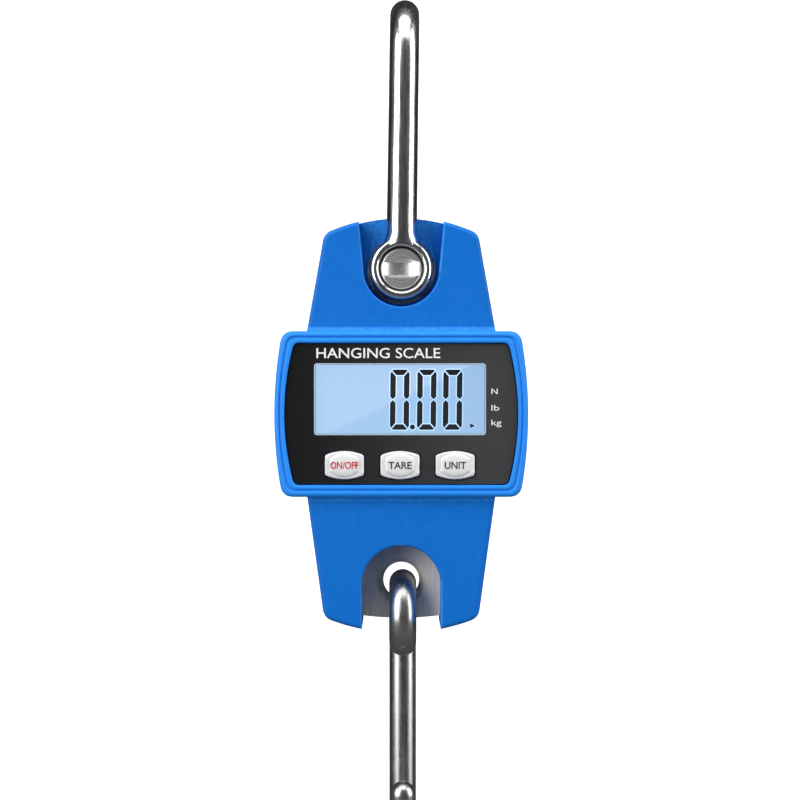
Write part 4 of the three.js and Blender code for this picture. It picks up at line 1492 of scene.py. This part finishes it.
def dress(node: str, finish: Finish) -> None:
    """Gives a node of the frame a better material."""
    piece = frame["nodes"][node]
    for slot_of in piece.material_slots:
        slot_of.material = finish.material()
    LOG.info("%s: kept, finish %s", node, finish.name)


@dataclass
class PushButtons:
    """The three white buttons with their legends.

    Attributes:
        sizes: the shared sizes.
        names: name, legend and ink of each.
        oval: half width, half height and depth of each step of the raised oval face.
    """

    sizes: CasingSizes = SIZES
    names: tuple[tuple[str, str, Finish, float], ...] = (
        ("on_off", "ON/OFF", RED_INK, 9.0), ("tare", "TARE", DARK_INK, 7.4), ("unit", "UNIT", DARK_INK, 6.8))
    oval: tuple[tuple[float, float, float], ...] = (
        (5.35, 3.75, -18.32), (5.2, 3.6, -18.5), (4.9, 3.3, -18.66), (4.3, 2.75, -18.78), (3.2, 1.9, -18.86),
        (1.6, 0.9, -18.89))

    def cap(self, x: float) -> Object:
        """A button's cap and its flange."""
        s = self.sizes
        ring = s.button_outline(x)
        rings = [(ring, -11.8), (ring, -17.75)]
        rings += [(s.button_outline(x, -0.12), -18.05), (s.button_outline(x, -0.4), -18.28),
                  (s.button_outline(x, -0.72), -18.3)]
        for half, tall, depth in self.oval:
            points = []
            for px, pz in ring:
                dx, dz = px - x, pz - s.button_z
                reach = 1 / math.hypot(dx / half, dz / tall)
                points.append((x + dx * reach, s.button_z + dz * reach))
            rings.append((points, depth))
        cap = loft("cap", rings)
        return carve(cap, [slab(s.button_outline(x, 1.1), -12.6, -11.4)], Cut.JOIN)

    def build(self) -> None:
        """Makes the three buttons and what is under them."""
        for (name, legend, ink, width), x in zip(self.names, self.sizes.button_x):
            body = f"button_{name}"
            place(self.cap(x), f"cap_{name}", WHITE, [body], 28.0, body)
            wording(f"legend_{name}", Lettering.KEY, legend, (x, -18.9, self.sizes.button_z), ink, body,
                    2.3, width)
            dress(f"switch_stem_{name}", CHIP)
            dress(f"switch_body_{name}", ZINC)


# ---- hooks ----


def arc(centre_z: float, radius: float, start: float, end: float, steps: int) -> list[Vector]:
    """Points round an arc in the YZ plane, its angles from +Y towards +Z."""
    angles = [start + (end - start) * k / steps for k in range(steps + 1)]
    return [Vector((0.0, radius * math.cos(a), centre_z + radius * math.sin(a))) for a in angles]


def straight(start: Vector, end: Vector, steps: int) -> list[Vector]:
    """Points along a straight line, without its first."""
    return [start.lerp(end, k / steps) for k in range(1, steps + 1)]


def taper(radii: list[float], count: int, step: float) -> None:
    """Thins the last few points of a bar evenly.

    Args:
        radii: the bar's radii.
        count: how many points are thinned.
        step: how much thinner each is than the one before.
    """
    for k in range(count):
        radii[len(radii) - count + k] -= step * (k + 1)


def rounded_end(path: list[Vector], radii: list[float]) -> None:
    """Adds a rounded end, with a tiny flat at its very tip, to a bar.

    Args:
        path: its middle, which grows.
        radii: its radii, which grow.
    """
    ahead = (path[-1] - path[-2]).normalized()
    end, radius = path[-1].copy(), radii[-1]
    for a in quarter(8)[1:]:
        path.append(end + ahead * radius * math.sin(a))
        radii.append(max(radius * math.cos(a), radius * 0.02))


@dataclass
class HangingHook:
    """The upper hook: a bent round bar with a forged eye.

    Attributes:
        rod: radius of the bar.
        seat: distance from the seat up to the bar's middle line.
        bowl: radius of the bowl's middle line.
        lean: how far the shank leans forwards, in radians.
        flare: how far the bowl goes round, in radians.
        tip: length of the straight end.
        drop: distance from seat to eye.
        eye: radius, front and back of the eye.
        pocket: radius and floor of the bolt head's pocket.
        bore: radius of the bolt's hole.
        neck: heights above the eye where the neck is widest and where it has run out, and its extra half width.
        swell: how much wider than deep the shank is at the eye, and the height over which that runs out.
    """

    rod: float = 4.75
    seat: float = 4.8
    bowl: float = 16.45
    lean: float = math.radians(4.2)
    flare: float = math.radians(165)
    tip: float = 13.0
    drop: float = math.hypot(DATUM.eye.x, DATUM.eye.z) / MM
    eye: tuple[float, float, float] = (10.0, -16.0, -6.4)
    pocket: Point = (7.25, -10.4)
    bore: float = 4.3
    neck: tuple[float, float, float] = (6.3, 12.6, 3.0)
    swell: Point = (0.04, 55.0)

    def bar(self) -> Object:
        """The bar from the eye up, over the bowl and down to the rounded point."""
        centre = self.seat - self.bowl
        bowl = arc(centre, self.bowl, math.pi + self.lean, math.pi - self.flare, 72)
        foot = bowl[0]
        down = Vector((0.0, math.sin(self.lean), -math.cos(self.lean)))
        root = foot + down * ((foot.z + self.drop) / math.cos(self.lean))
        shank = [root] + straight(root, foot, 60)
        path = shank + bowl[1:]
        ahead = (path[-1] - path[-2]).normalized()
        path += straight(path[-1], path[-1] + ahead * self.tip, 8)
        radii = [self.rod] * len(path)
        taper(radii, 8, 0.05)
        rounded_end(path, radii)
        low, high, extra = self.neck
        rises = [point.z + self.drop for point in shank]
        shares = [min(max((high - rise) / (high - low), 0.0), 1.0) for rise in rises]
        wider, over = self.swell
        swell = [wider * max(1.0 - rise / over, 0.0) for rise in rises]
        spread = [1.0 + more + extra * share ** 2 / self.rod for more, share in zip(swell, shares)]
        return sweep("bar", path, radii, spread)

    def forging(self) -> Object:
        """The eye with its pocket, rounded at every edge."""
        radius, front, back = self.eye
        pocket, floor = self.pocket
        profile = [(self.bore, back)]
        profile += list(reversed(eased(radius, back, 0.9, -1, 1)))
        profile += eased(radius, front, 1.5, -1, -1, 8)
        profile += list(reversed(eased(pocket, front, 1.15, 1, -1, 7)))
        profile += [(pocket, floor + 0.3), (pocket - 0.3, floor), (self.bore, floor)]
        return lathe("eye", profile, (0.0, -self.drop), 96, True)

    def build(self) -> Object:
        """Joins bar and eye and leans the hook."""
        eye, bar = self.forging(), self.bar()
        radius, _, back = self.eye
        rim, clear = 1.6, 6
        carve(bar, [disc(0, -self.drop, radius - rim, -FAR, FAR, 96),
                    disc(0, -self.drop, radius + clear, back, 0.0, 64)])
        hook = carve(eye, [bar], Cut.JOIN)
        matrix = Matrix.Rotation(DATUM.lean, 4, "Y") @ Matrix.Scale(MM, 4)
        return place(hook, "hanging_hook", STEEL, ["upper_hook"], 30.0, "hanger", matrix)


@dataclass
class LoadHook:
    """The lower hook: a closed ring, a shank behind it, a bowl and a point in front.

    Attributes:
        rod: radius of the bar.
        ring: radius of the ring's middle line.
        bowl: radius of the bowl's middle line.
        drop: from the ring's centre to the bowl's.
        flare: angle where the bowl ends, in radians.
        tip: length of the straight end.
        hang: how far the empty hook hangs forwards about X, in radians.
    """

    rod: float = 4.45
    ring: float = 9.8
    bowl: float = 16.8
    drop: float = 58.4
    flare: float = math.radians(-165)
    tip: float = 5.6
    hang: float = math.radians(-6.67)

    def build(self) -> Object:
        """Bends the bar and hangs it from the load cell."""
        tangent = math.asin((self.bowl - self.ring) / self.drop)
        bowl = arc(-self.drop, self.bowl, tangent, self.flare, 84)
        leave = arc(0.0, self.ring, tangent + math.radians(14), tangent, 6)
        path = leave + straight(leave[-1], bowl[0], 20) + bowl[1:]
        ahead = (path[-1] - path[-2]).normalized()
        path += straight(path[-1], path[-1] + ahead * self.tip, 6)
        radii = [self.rod] * len(path)
        taper(radii, 12, 0.035)
        rounded_end(path, radii)
        hook = carve(self.hoop(), [sweep("bar", path, radii)], Cut.JOIN)
        hang = Matrix.Rotation(self.hang, 4, "X")
        matrix = Matrix.Translation(DATUM.ring) @ hang @ Matrix.Scale(MM, 4)
        return place(hook, "load_hook_bar", LOAD_STEEL, ["lower_hook"], 30.0, "load_hook", matrix)

    def hoop(self) -> Object:
        """The closed ring in the YZ plane."""
        bm = bmesh.new()
        around, sides = 112, 64
        turns = [math.tau * side / sides for side in range(sides)]
        across = Vector((1.0, 0.0, 0.0))
        loops = []
        for k in range(around):
            a = math.tau * k / around
            out = Vector((0.0, math.cos(a), math.sin(a)))
            spots = [(self.ring + self.rod * math.cos(t), self.rod * math.sin(t)) for t in turns]
            loops.append([bm.verts.new(out * reach + across * aside) for reach, aside in spots])
        for near, far in zip(loops, loops[1:] + loops[:1]):
            bridge(bm, near, far)
        return to_object("hoop", bm)


# ---- load cell and its bolt ----


@dataclass
class LoadCell:
    """The metal bar that carries the load, with its gauges and cable.

    Attributes:
        thick: half thickness.
        thin: half thickness of the lower end.
        step_z: where it gets thinner.
        hole: radius, height and chamfer of the ring's hole.
        ends: bottom and top of the bar, and its half width.
        ease: rounding of its edges.
        flexure: how far each of the two joined holes is from the middle, their radius, and the slot's
            half height.
        route: points of the gauges' cable.
    """

    thick: float = 5.0
    thin: float = 3.3
    step_z: float = -37.0
    hole: tuple[float, float, float] = (5.85, -54.6, 2.3)
    ends: tuple[float, float, float] = (-66.0, 56.6, 13.5)
    ease: float = 0.3
    flexure: tuple[float, float, float] = (5.6, 4.6, 1.1)
    route: tuple[tuple[float, float, float], ...] = (
        (-15.7, 0.0, 2.0), (-16.6, 0.0, 9.0), (-20.0, -1.4, 14.0), (-24.0, -3.4, 16.5), (-28.0, -4.8, 15.0))

    def bar(self) -> Object:
        """The machined bar."""
        low, high, half = self.ends
        shape = outline([(-half, low, 1.5, 0.9), (half, low, 1.5, 0.0),
                         (half, high, 9.0, 1.2), (-half, high, 9.0, 0.0)])
        bar = slab(shape, -self.thick, self.thick)
        apart, round_hole, slit = self.flexure
        radius, z, chamfer = self.hole
        sunk = self.thin - chamfer
        hole = [(radius + chamfer + 1, -self.thin - 1), (radius, -sunk), (radius, sunk),
                (radius + chamfer + 1, self.thin + 1)]
        cuts = [
            box((-FAR, -FAR, -FAR), (FAR, -self.thin, self.step_z)),
            box((-FAR, self.thin, -FAR), (FAR, FAR, self.step_z)),
            lathe("hole", hole, (0.0, z), 96),
            disc(0, SIZES.eye_z, 4.3, -FAR, FAR, 64),
            disc(-apart, 0, round_hole, -FAR, FAR, 64),
            disc(apart, 0, round_hole, -FAR, FAR, 64),
            box((-apart, -FAR, -slit), (apart, FAR, slit)),
        ]
        cuts += [disc(x, at, SIZES.screw_clear, -FAR, FAR) for x, at in SIZES.cell_screws]
        carve(bar, cuts)
        ease_edges(bar, self.ease, 35)
        return place(bar, "cell_bar", CELL_METAL, ["load_cell"], 28.0)

    def build(self) -> None:
        """Makes the bar, its gauges and the cable."""
        self.bar()
        for side in ("left", "right"):
            dress(f"strain_gauge_{side}", FOIL)
        lay_cable("gauge_cable", self.route, 0.9, "cell_cable")


def cable_tree() -> NodeTree:
    """A round cable through points joined in a row."""

    def body(graph: Graph, given: dict) -> Socket:
        """Rounds the corners and gives the line a round section."""
        line = graph.add("GeometryNodeMeshToCurve", {"Mesh": given["Geometry"]})
        kind = graph.add("GeometryNodeCurveSplineType", {"Curve": line.outputs[0]}, spline_type="CATMULL_ROM")
        even = graph.add("GeometryNodeResampleCurve", {"Curve": kind.outputs[0], "Count": given["Steps"]})
        ring = graph.add("GeometryNodeCurvePrimitiveCircle", {"Resolution": 16, "Radius": given["Radius"]})
        return graph.add("GeometryNodeCurveToMesh", {
            "Curve": even.outputs[0], "Profile Curve": ring.outputs[0], "Fill Caps": True}).outputs[0]

    return geometry_tree("cable_through_points", {"Radius": "NodeSocketFloat", "Steps": "NodeSocketInt"}, body)


def lay_cable(name: str, route: Sequence[Sequence[float]], radius: float, node: str) -> Object:
    """Makes a cable along a route.

    Args:
        name: the piece's name.
        route: the points that it follows.
        radius: its radius.
        node: the node that it stands for.

    Returns:
        The cable.
    """
    points = [Vector(point) for point in route]
    cable = grown(name, cable_tree(), {"Radius": radius, "Steps": 28}, CABLE, points, True)
    return place(cable, name, CABLE, [node], 60.0)


@dataclass
class CrossBolt:
    """The slotted bolt through the eye, with its washers and nut.

    Attributes:
        head: radius, front and back of the head.
        shank: radius and end of the shank.
        thread: where the thread starts, its turns, pitch and depth.
        slot: half width and depth of the slot, and radius of its hollow floor.
    """

    head: tuple[float, float, float] = (6.65, -14.7, -10.7)
    shank: Point = (4.0, 12.7)
    thread: tuple[float, int, float, float] = (6.2, 5, 1.25, 0.35)
    slot: tuple[float, float, float] = (2.0, 1.9, 10.0)

    def bolt(self) -> Object:
        """The bolt with a rounded rim and a screwdriver slot."""
        radius, front, back = self.head
        shank, end = self.shank
        profile = [(0.0, front), (radius * 0.5, front)]
        profile += list(reversed(eased(radius, front, 0.75, -1, -1)))
        begin, turns, pitch, depth = self.thread
        profile += [(radius, back - 0.2), (radius - 0.2, back), (shank, back), (shank, begin - 0.2)]
        for k in range(turns):
            at = begin + k * pitch
            profile += [(shank, at), (shank - depth, at + pitch / 2)]
        profile += [(shank, end - 0.6), (shank - 0.5, end), (0.0, end)]
        bolt = lathe("bolt", profile, (0.0, SIZES.eye_z), 80)
        half, deep, cutter = self.slot
        low, high = SIZES.eye_z - half, SIZES.eye_z + half
        mill, middle = bmesh.new(), front + deep - cutter
        rims = []
        for z, reach in ((low - 1.0, cutter - 1.3), (low, cutter), (high, cutter), (high + 1.0, cutter - 1.3)):
            rims.append([mill.verts.new((x, middle + y, z)) for x, y in circle(0.0, 0.0, reach, 96)])
        for near, far in zip(rims, rims[1:]):
            bridge(mill, near, far)
        mill.faces.new(rims[0])
        mill.faces.new(rims[-1])
        carve(bolt, [to_object("slot", mill)])
        return place(bolt, "slotted_bolt", BOLT_STEEL, ["hook_bolt"], 30.0)

    def ring(self, name: str, radius: float, front: float, back: float, finish: Finish, slot: str,
             node: str, gap: float = 0.0) -> Object:
        """A washer with eased edges, split where it has a gap."""
        bore = self.shank[0] + 0.3
        profile = [(bore, back)] + list(reversed(eased(radius, back, 0.15, -1, 1, 2)))
        profile += eased(radius, front, 0.15, -1, -1, 2) + [(bore, front)]
        washer = lathe(name, profile, (0.0, SIZES.eye_z), 72, True)
        if gap:
            carve(washer, [box((0, -FAR, SIZES.eye_z - gap), (radius + 1, FAR, SIZES.eye_z + gap))])
        return place(washer, name, finish, [node], 30.0)

    def nut(self) -> Object:
        """A hexagon nut with turned corners."""
        corner = 13.0 / math.sqrt(3)
        front, back = 6.9, 12.4
        hexagon = disc(0, SIZES.eye_z, corner, front, back, 6)
        turned = lathe("turned", [(0.0, back), (6.5, back), (corner, back - 0.55), (corner, front + 0.55),
                                  (6.5, front), (0.0, front)], (0.0, SIZES.eye_z), 72)
        carve(hexagon, [turned], Cut.KEEP)
        carve(hexagon, [disc(0, SIZES.eye_z, self.shank[0] + 0.25, -FAR, FAR, 48)])
        return place(hexagon, "hexagon_nut", ZINC, ["bolt_nut"], 30.0)

    def build(self) -> None:
        """Makes the bolt and its hardware."""
        self.bolt()
        self.ring("plain_washer", 9.0, -6.1, -5.3, BRASS, "brass_washer", "eye_washer")
        self.ring("split_washer", 6.6, 5.3, 6.6, ZINC, "zinc", "spring_washer", 0.5)
        self.nut()


# ---- screws ----


@dataclass
class CrossScrews:
    """Cross-head screws, one drawing repeated at each place.

    Attributes:
        head: radius and height of the head.
        shank: radius of the shank.
        cross: half length, half width and depth of the cross.
    """

    head: Point = (2.8, 2.0)
    shank: float = 1.4
    cross: tuple[float, float, float] = (1.74, 0.45, 1.0)

    def screw(self, length: float, facing: Facing) -> Object:
        """One screw with its head's underside at nought.

        Args:
            length: length under the head.
            facing: which way the head looks.

        Returns:
            The screw in millimetres.
        """
        out = facing.value
        radius, tall = self.head
        profile = [(0.0, out * tall), (radius * 0.55, out * tall), (radius * 0.85, out * tall * 0.8),
                   (radius, out * tall * 0.4), (radius, out * 0.15), (radius - 0.15, 0.0), (self.shank, 0.0)]
        profile += [(self.shank - 0.25, -out * (length - 1)), (0.0, -out * length)]
        screw = lathe("screw", profile, (0.0, 0.0), 32)
        arm, half, deep = self.cross
        near, far = sorted((out * (tall - deep), out * (tall + 1)))
        cross = [box((-arm, near, -half), (arm, far, half)), box((-half, near, -arm), (half, far, arm))]
        return carve(screw, cross)

    def lay(self, name: str, places: Sequence[Point], seat: float, length: float, facing: Facing,
            nodes: Sequence[str], body: str = "housing", scale: float = 1.0) -> Object:
        """Repeats the screw at each place.

        Args:
            name: the piece's name.
            places: x and z of each screw.
            seat: depth of the seat.
            length: length under the head.
            facing: which way the heads look.
            nodes: the nodes that the screws stand for.
            body: the body that they ride on.
            scale: size against the drawing.

        Returns:
            The screws as one piece.
        """
        screw = self.screw(length / scale, facing)
        screw.data.transform(Matrix.Scale(scale, 4))
        under = seat + facing.value * 0.3
        screws = grown(name, copies_at_points(), {"Item": screw, "Seed": 7}, ZINC,
                       [Vector((x, under, z)) for x, z in places])
        discard(screw)
        return place(screws, name, ZINC, nodes, 30.0, body)

    def build(self) -> None:
        """Lays every screw."""
        covers, boards = ([f"{kind}_screw_{k}" for k in range(1, 5)] for kind in ("cover", "board"))
        self.lay("cover_screws", SIZES.cover_screws, 8.0, 15.0, Facing.REAR, covers)
        self.lay("cell_screws", SIZES.cell_screws, -5.0, 14.0, Facing.FRONT, ["cell_screw_1", "cell_screw_2"])
        self.lay("board_screws", SIZES.board_screws, -6.3, 4.2, Facing.REAR, boards, scale=0.7)
        self.lay("lid_screw", [SIZES.lid_screw], 17.4, 4.6, Facing.REAR, ["door_screw"], "battery_lid")


# ---- board and power ----


@dataclass
class Board:
    """The circuit board with its two chips.

    Attributes:
        back: depth of the board's rear face.
        chips: node, middle, half width and half height of each chip.
    """

    back: float = -6.3
    chips: tuple[tuple[str, float, float, float, float], ...] = (
        ("weighing_chip", -22.0, 10.0, 4.0, 4.0), ("display_chip", 22.5, 2.5, 4.5, 4.5))

    def build(self) -> None:
        """Dresses the board and gives each chip its legs."""
        dress("main_board", BOARD_GREEN)
        for node, x, z, half, tall in self.chips:
            body = copy_of(node, 0.15)
            place(body, node + "_body", CHIP, [node], 30.0)
            leg = box((-0.2, self.back, -0.8), (0.2, self.back + 0.5, 0.8))
            for label, edge in (("upper", z + tall + 0.7), ("lower", z - tall - 0.7)):
                name = f"{node}_legs_{label}"
                row = {"Item": leg, "Count": 7, "Start": (x - half + 0.9, 0.0, edge),
                       "Step": ((half - 0.9) / 3, 0.0, 0.0)}
                legs = grown(name, row_of_copies(), row, ZINC)
                place(legs, name, ZINC, (), 20.0)
            discard(leg)


@dataclass
class Power:
    """Batteries, contacts, leads and the battery door.

    Attributes:
        pitch: distance between batteries.
        radius: their radius.
        length: their length.
        middle: depth of their middle line.
        bay_half: half width of the bay.
        contact: room for the contact strip at each end.
        nub: height of a cell's raised end.
        lid: half width, top, bottom, front and rear of the door.
    """

    pitch: float = 10.9
    radius: float = 5.2
    length: float = 43.6
    middle: float = 12.5
    bay_half: float = 25.3
    contact: float = 1.1
    nub: float = 0.9
    lid: tuple[float, float, float, float, float] = (28.6, 18.6, -23.6, 18.4, 19.9)

    def battery(self, number: int, z: float, side: int) -> Object:
        """One cell with its raised end on the given side."""
        raised = side * (self.bay_half - self.contact)
        shoulder = raised - side * self.nub
        flat = shoulder - side * self.length
        profile = [(0.0, raised), (1.7, raised), (1.9, raised - side * 0.2), (1.9, shoulder), (4.6, shoulder),
                   (5.1, shoulder - side * 0.25), (self.radius, shoulder - side * 0.8),
                   (self.radius, flat + side * 0.6), (5.0, flat + side * 0.1), (4.2, flat), (0.0, flat)]
        cell = lathe("cell", profile, (0.0, 0.0), 56)
        turn = Matrix.Rotation(-math.pi / 2, 4, "Z")
        cell.data.transform(Matrix.Translation((0.0, self.middle, z)) @ turn)
        return place(cell, f"cell_{number}", SLEEVE, [f"battery_{number}"], 30.0)

    def coil(self, number: int, z: float, side: int) -> Object:
        """The spring at a cell's flat end."""
        start = -side * (self.bay_half - 1.45)
        end = side * (self.bay_half - self.contact - self.nub - self.length) - side * 0.65
        height = abs(end - start)
        wire = grown(f"spring_{number}", coil_wire(), {
            "Turns": 3.0, "Start radius": 2.3, "End radius": 1.5, "Height": height, "Wire radius": 0.35,
        }, ZINC)
        turn = Matrix.Rotation(math.pi / 2 * (1 if end > start else -1), 4, "Y")
        wire.data.transform(Matrix.Translation((start, self.middle, z)) @ turn)
        return place(wire, f"spring_{number}", ZINC, [f"contact_coil_{number}"], 60.0)

    def door(self) -> Object:
        """The battery door with its screw cup, and a thumb patch of fine ribs."""
        half, high, low, front, rear = self.lid
        steps = ((0.0, 2.4, front), (0.0, 2.4, rear - 0.45), (0.15, 2.3, rear - 0.12), (0.45, 2.0, rear))
        plate = loft("door", [(rectangle(-half + inset, low + inset, half - inset, high - inset, corner), depth)
                              for inset, corner, depth in steps])
        screw = SIZES.lid_screw
        cup, cup_front, well_radius, well_floor = 4.1, 16.4, 3.3, 17.4
        carve(plate, [disc(*screw, cup, cup_front, front + 0.7, 64)], Cut.JOIN)
        well = lipped(lambda grow: circle(*screw, well_radius + grow), rear, well_floor, 0.3)
        patch = slab(rectangle(-9.0, 6.6, 9.0, 15.4, 1.4), rear - 0.45, FAR)
        carve(plate, [disc(*screw, SIZES.screw_clear, -FAR, FAR), well, patch])
        return place(plate, "bay_door", BLUE, ["battery_door"], 28.0, "battery_lid")

    def ribs(self) -> Object:
        """The ribs in the thumb patch."""
        foot, top = rectangle(-8.4, -0.4, 8.4, 0.4, 0.3), rectangle(-8.2, -0.2, 8.2, 0.2, 0.15)
        rib = loft("rib", [(foot, 19.3), (foot, 19.75), (top, 19.92)])
        ribs = grown("door_ribs", row_of_copies(), {"Item": rib, "Count": 6, "Start": (0.0, 0.0, 7.5),
                                                    "Step": (0.0, 0.0, 1.4)}, BLUE)
        discard(rib)
        return place(ribs, "door_ribs", BLUE, (), 30.0, "battery_lid")

    def build(self) -> None:
        """Makes everything in the bay and its door."""
        for number, row in enumerate((-1, 0, 1), 1):
            side = -1 if row == 0 else 1
            self.battery(number, row * self.pitch, side)
            self.coil(number, row * self.pitch, side)
        for side, label in ((-1, "left"), (1, "right")):
            dress(f"contact_strip_{label}", ZINC)
            route = ((side * 27.9, 12.5, -8.0), (side * 29.0, 7.0, -8.0), (side * 29.3, 0.0, -7.0),
                     (side * 28.6, -4.8, -6.0))
            lay_cable(f"supply_lead_{label}", route, 0.8, f"battery_lead_{label}")
        self.door()
        self.ribs()


# ---- studio ----


@dataclass
class Studio:
    """The plain pale floor and backdrop, the lights and the camera.

    Attributes:
        distance: camera to the bezel, in metres.
        field: height of the view at the bezel, in metres.
        aim: x and z that the camera looks at, in metres.
        bezel: depth of the bezel, in metres.
        floor: height of the floor, in metres.
        behind: where the backdrop starts to curve up, in metres.
        curve: radius of that curve, in metres.
    """

    distance: float = 0.62
    field: float = 0.256
    aim: Point = (DATUM.block.x - 0.0004, DATUM.block.z + 0.0045)
    bezel: float = -0.0185
    floor: float = -0.6
    behind: float = 0.6
    curve: float = 1.2

    def camera(self) -> None:
        """A level camera straight in front."""
        data = bpy.data.cameras.new("camera")
        data.sensor_width = 36.0
        data.lens = 36.0 * self.distance / self.field
        data.clip_start = 0.01
        camera = bpy.data.objects.new("camera", data)
        camera.location = (self.aim[0], self.bezel - self.distance, self.aim[1])
        camera.rotation_euler = Euler((math.pi / 2, 0.0, 0.0))
        bpy.context.scene.collection.objects.link(camera)
        bpy.context.scene.camera = camera

    def backdrop(self) -> None:
        """A plain pale floor that curves up behind into a backdrop."""
        bm = bmesh.new()
        path = [(-6.0, self.floor)]
        path += [(self.behind + self.curve * math.sin(a), self.floor + self.curve * (1 - math.cos(a)))
                 for a in quarter(24)]
        path.append((self.behind + self.curve, 5.0))
        rows = [[bm.verts.new((x, y, z)) for x in (-7.0, 7.0)] for y, z in path]
        for near, far in zip(rows, rows[1:]):
            bm.faces.new((near[0], near[1], far[1], far[0]))
        mesh = bpy.data.meshes.new("floor")
        bm.to_mesh(mesh)
        bm.free()
        mesh.polygons.foreach_set("use_smooth", [True] * len(mesh.polygons))
        mesh.materials.append(PAPER.material())
        piece = bpy.data.objects.new("floor", mesh)
        bpy.context.scene.collection.objects.link(piece)

    def lamp(self, name: str, at: Sequence[float], size: Point, power: float, colour: Colour = (1.0, 1.0, 1.0),
             target: Sequence[float] = (0.0, 0.0, -0.12)) -> None:
        """A soft box aimed at the object.

        Args:
            name: the light's name.
            at: where it stands.
            size: its width and height.
            power: its power in watts.
            colour: its colour.
            target: what it looks at.
        """
        data = bpy.data.lights.new(name, "AREA")
        data.shape = "RECTANGLE"
        data.size, data.size_y = size
        data.energy = power
        data.color = colour
        lamp = bpy.data.objects.new(name, data)
        lamp.location = at
        lamp.rotation_euler = (Vector(target) - Vector(at)).to_track_quat("-Z", "Y").to_euler()
        bpy.context.scene.collection.objects.link(lamp)

    def build(self) -> None:
        """Sets the studio up."""
        self.camera()
        self.backdrop()
        world = bpy.data.worlds.new("studio")
        world.use_nodes = True
        background = world.node_tree.nodes["Background"]
        background.inputs["Color"].default_value = (0.93, 0.95, 1.0, 1.0)
        background.inputs["Strength"].default_value = 0.09
        bpy.context.scene.world = world
        self.lamp("left_box", (-0.96, -0.74, 0.22), (0.85, 1.35), 19.0)
        self.lamp("right_box", (1.12, -0.4, 0.22), (0.62, 1.35), 14.0)
        self.lamp("top_box", (0.0, -0.4, 0.85), (1.2, 0.8), 8.0)
        settings = bpy.context.scene.view_settings
        settings.view_transform = "Standard"


def main() -> None:
    """Builds every sub-assembly in order."""
    Studio().build()
    steps = (Covers().front, Covers().rear, Display().build, PushButtons().build, HangingHook().build,
             LoadHook().build, LoadCell().build, CrossBolt().build, CrossScrews().build, Board().build,
             Power().build)
    for step in steps:
        step()


if __name__ == "__main__":
    main()
